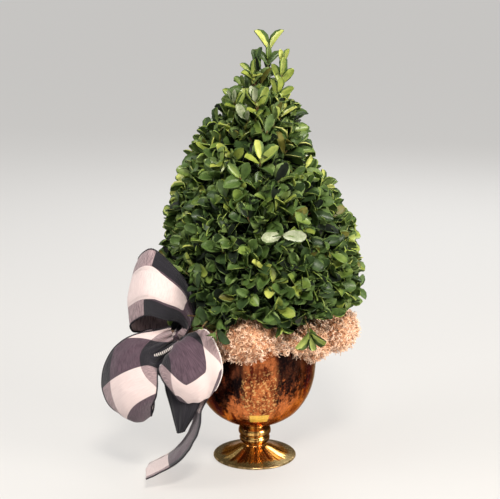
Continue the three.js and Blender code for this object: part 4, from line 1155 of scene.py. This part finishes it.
shoot_bark = Finish("young_shoots", {"Roughness": 0.6, "Specular IOR Level": 0.4})
age = shoot_bark.noise(shoot_bark.place(), 14, 3, 0.6)
shoot_bark.feed(shoot_bark.shader, {
    "Base Color": shoot_bark.mix(age.step(0.35, 0.65), (0.16, 0.075, 0.03), (0.11, 0.14, 0.035)),
    "Normal": shoot_bark.bump(age, 0.4),
})
twig_paths = bend(feet, middles, tips, 7)[np.unique(leaf_twigs)]
twigs = mesh_piece("twigs", *tubes(twig_paths, np.linspace(1.15, 0.6, 7)[None], 5), [shoot_bark])
fit(twigs, "bark", "foliage_cone")

# Studio
# A plain pale floor, large soft lights, and the camera where the photograph was taken from.
FLOOR_HALF = 60000.0
LENS = 89.28
CAMERA_PITCH = 12.1
floor_points = np.array([[-1, -1, 0], [1, -1, 0], [1, 1, 0], [-1, 1, 0]]) * FLOOR_HALF
paper = Finish("pale_paper", {
    "Roughness": 0.9, "Specular IOR Level": 0.1, "Base Color": (0.30, 0.29, 0.28, 1),
    "Emission Color": (1, 0.98, 0.95, 1), "Emission Strength": 0.46,
})
floor = mesh_piece("floor", floor_points, [np.array([[0, 1, 2, 3]])], [paper])

world = bpy.data.worlds.new("soft_room")
world.use_nodes = True
background = world.node_tree.nodes["Background"]
background.inputs["Color"].default_value = (0.90, 0.92, 0.94, 1)
background.inputs["Strength"].default_value = 0.22
bpy.context.scene.world = world


def soft_light(name, place, aim, size, power, colour):
    """A square soft box at a place, facing the point that it is aimed at."""
    lamp = bpy.data.lights.new(name, "AREA")
    lamp.size = size
    lamp.energy = power
    lamp.color = colour
    light = bpy.data.objects.new(name, lamp)
    light.location = place
    way = Vector(aim) - Vector(place)
    light.rotation_euler = way.to_track_quat("-Z", "Y").to_euler()
    bpy.context.collection.objects.link(light)


soft_light("window", (0.1, -1.35, 1.5), (0, 0, 0.25), 0.35, 28, (1, 0.96, 0.89))
soft_light("bounce", (1.4, -1.0, 0.5), (0, 0, 0.2), 0.8, 34, (1, 0.92, 0.82))
soft_light("fill", (-1.6, -0.6, 1.1), (0, 0, 0.3), 0.8, 16, (1, 0.97, 0.93))
soft_light("behind", (0.5, 1.5, 1.5), (0, 0, 0.25), 1.2, 22, (0.93, 0.97, 1))

sky = bpy.data.lights.new("sky", "SUN")
sky.energy = 0.5
sky.angle = math.radians(70)
sky_light = bpy.data.objects.new("sky", sky)
sky_light.rotation_euler = (math.radians(25), math.radians(-10), 0)
bpy.context.collection.objects.link(sky_light)

lens = bpy.data.cameras.new("camera")
lens.sensor_width = 36
lens.lens = LENS
camera = bpy.data.objects.new("camera", lens)
camera.location = (-0.005, -1.265, 0.498)
camera.rotation_euler = (math.radians(90 - CAMERA_PITCH), 0, 0)
bpy.context.collection.objects.link(camera)
bpy.context.scene.camera = camera
bpy.context.scene.view_settings.view_transform = "Standard"
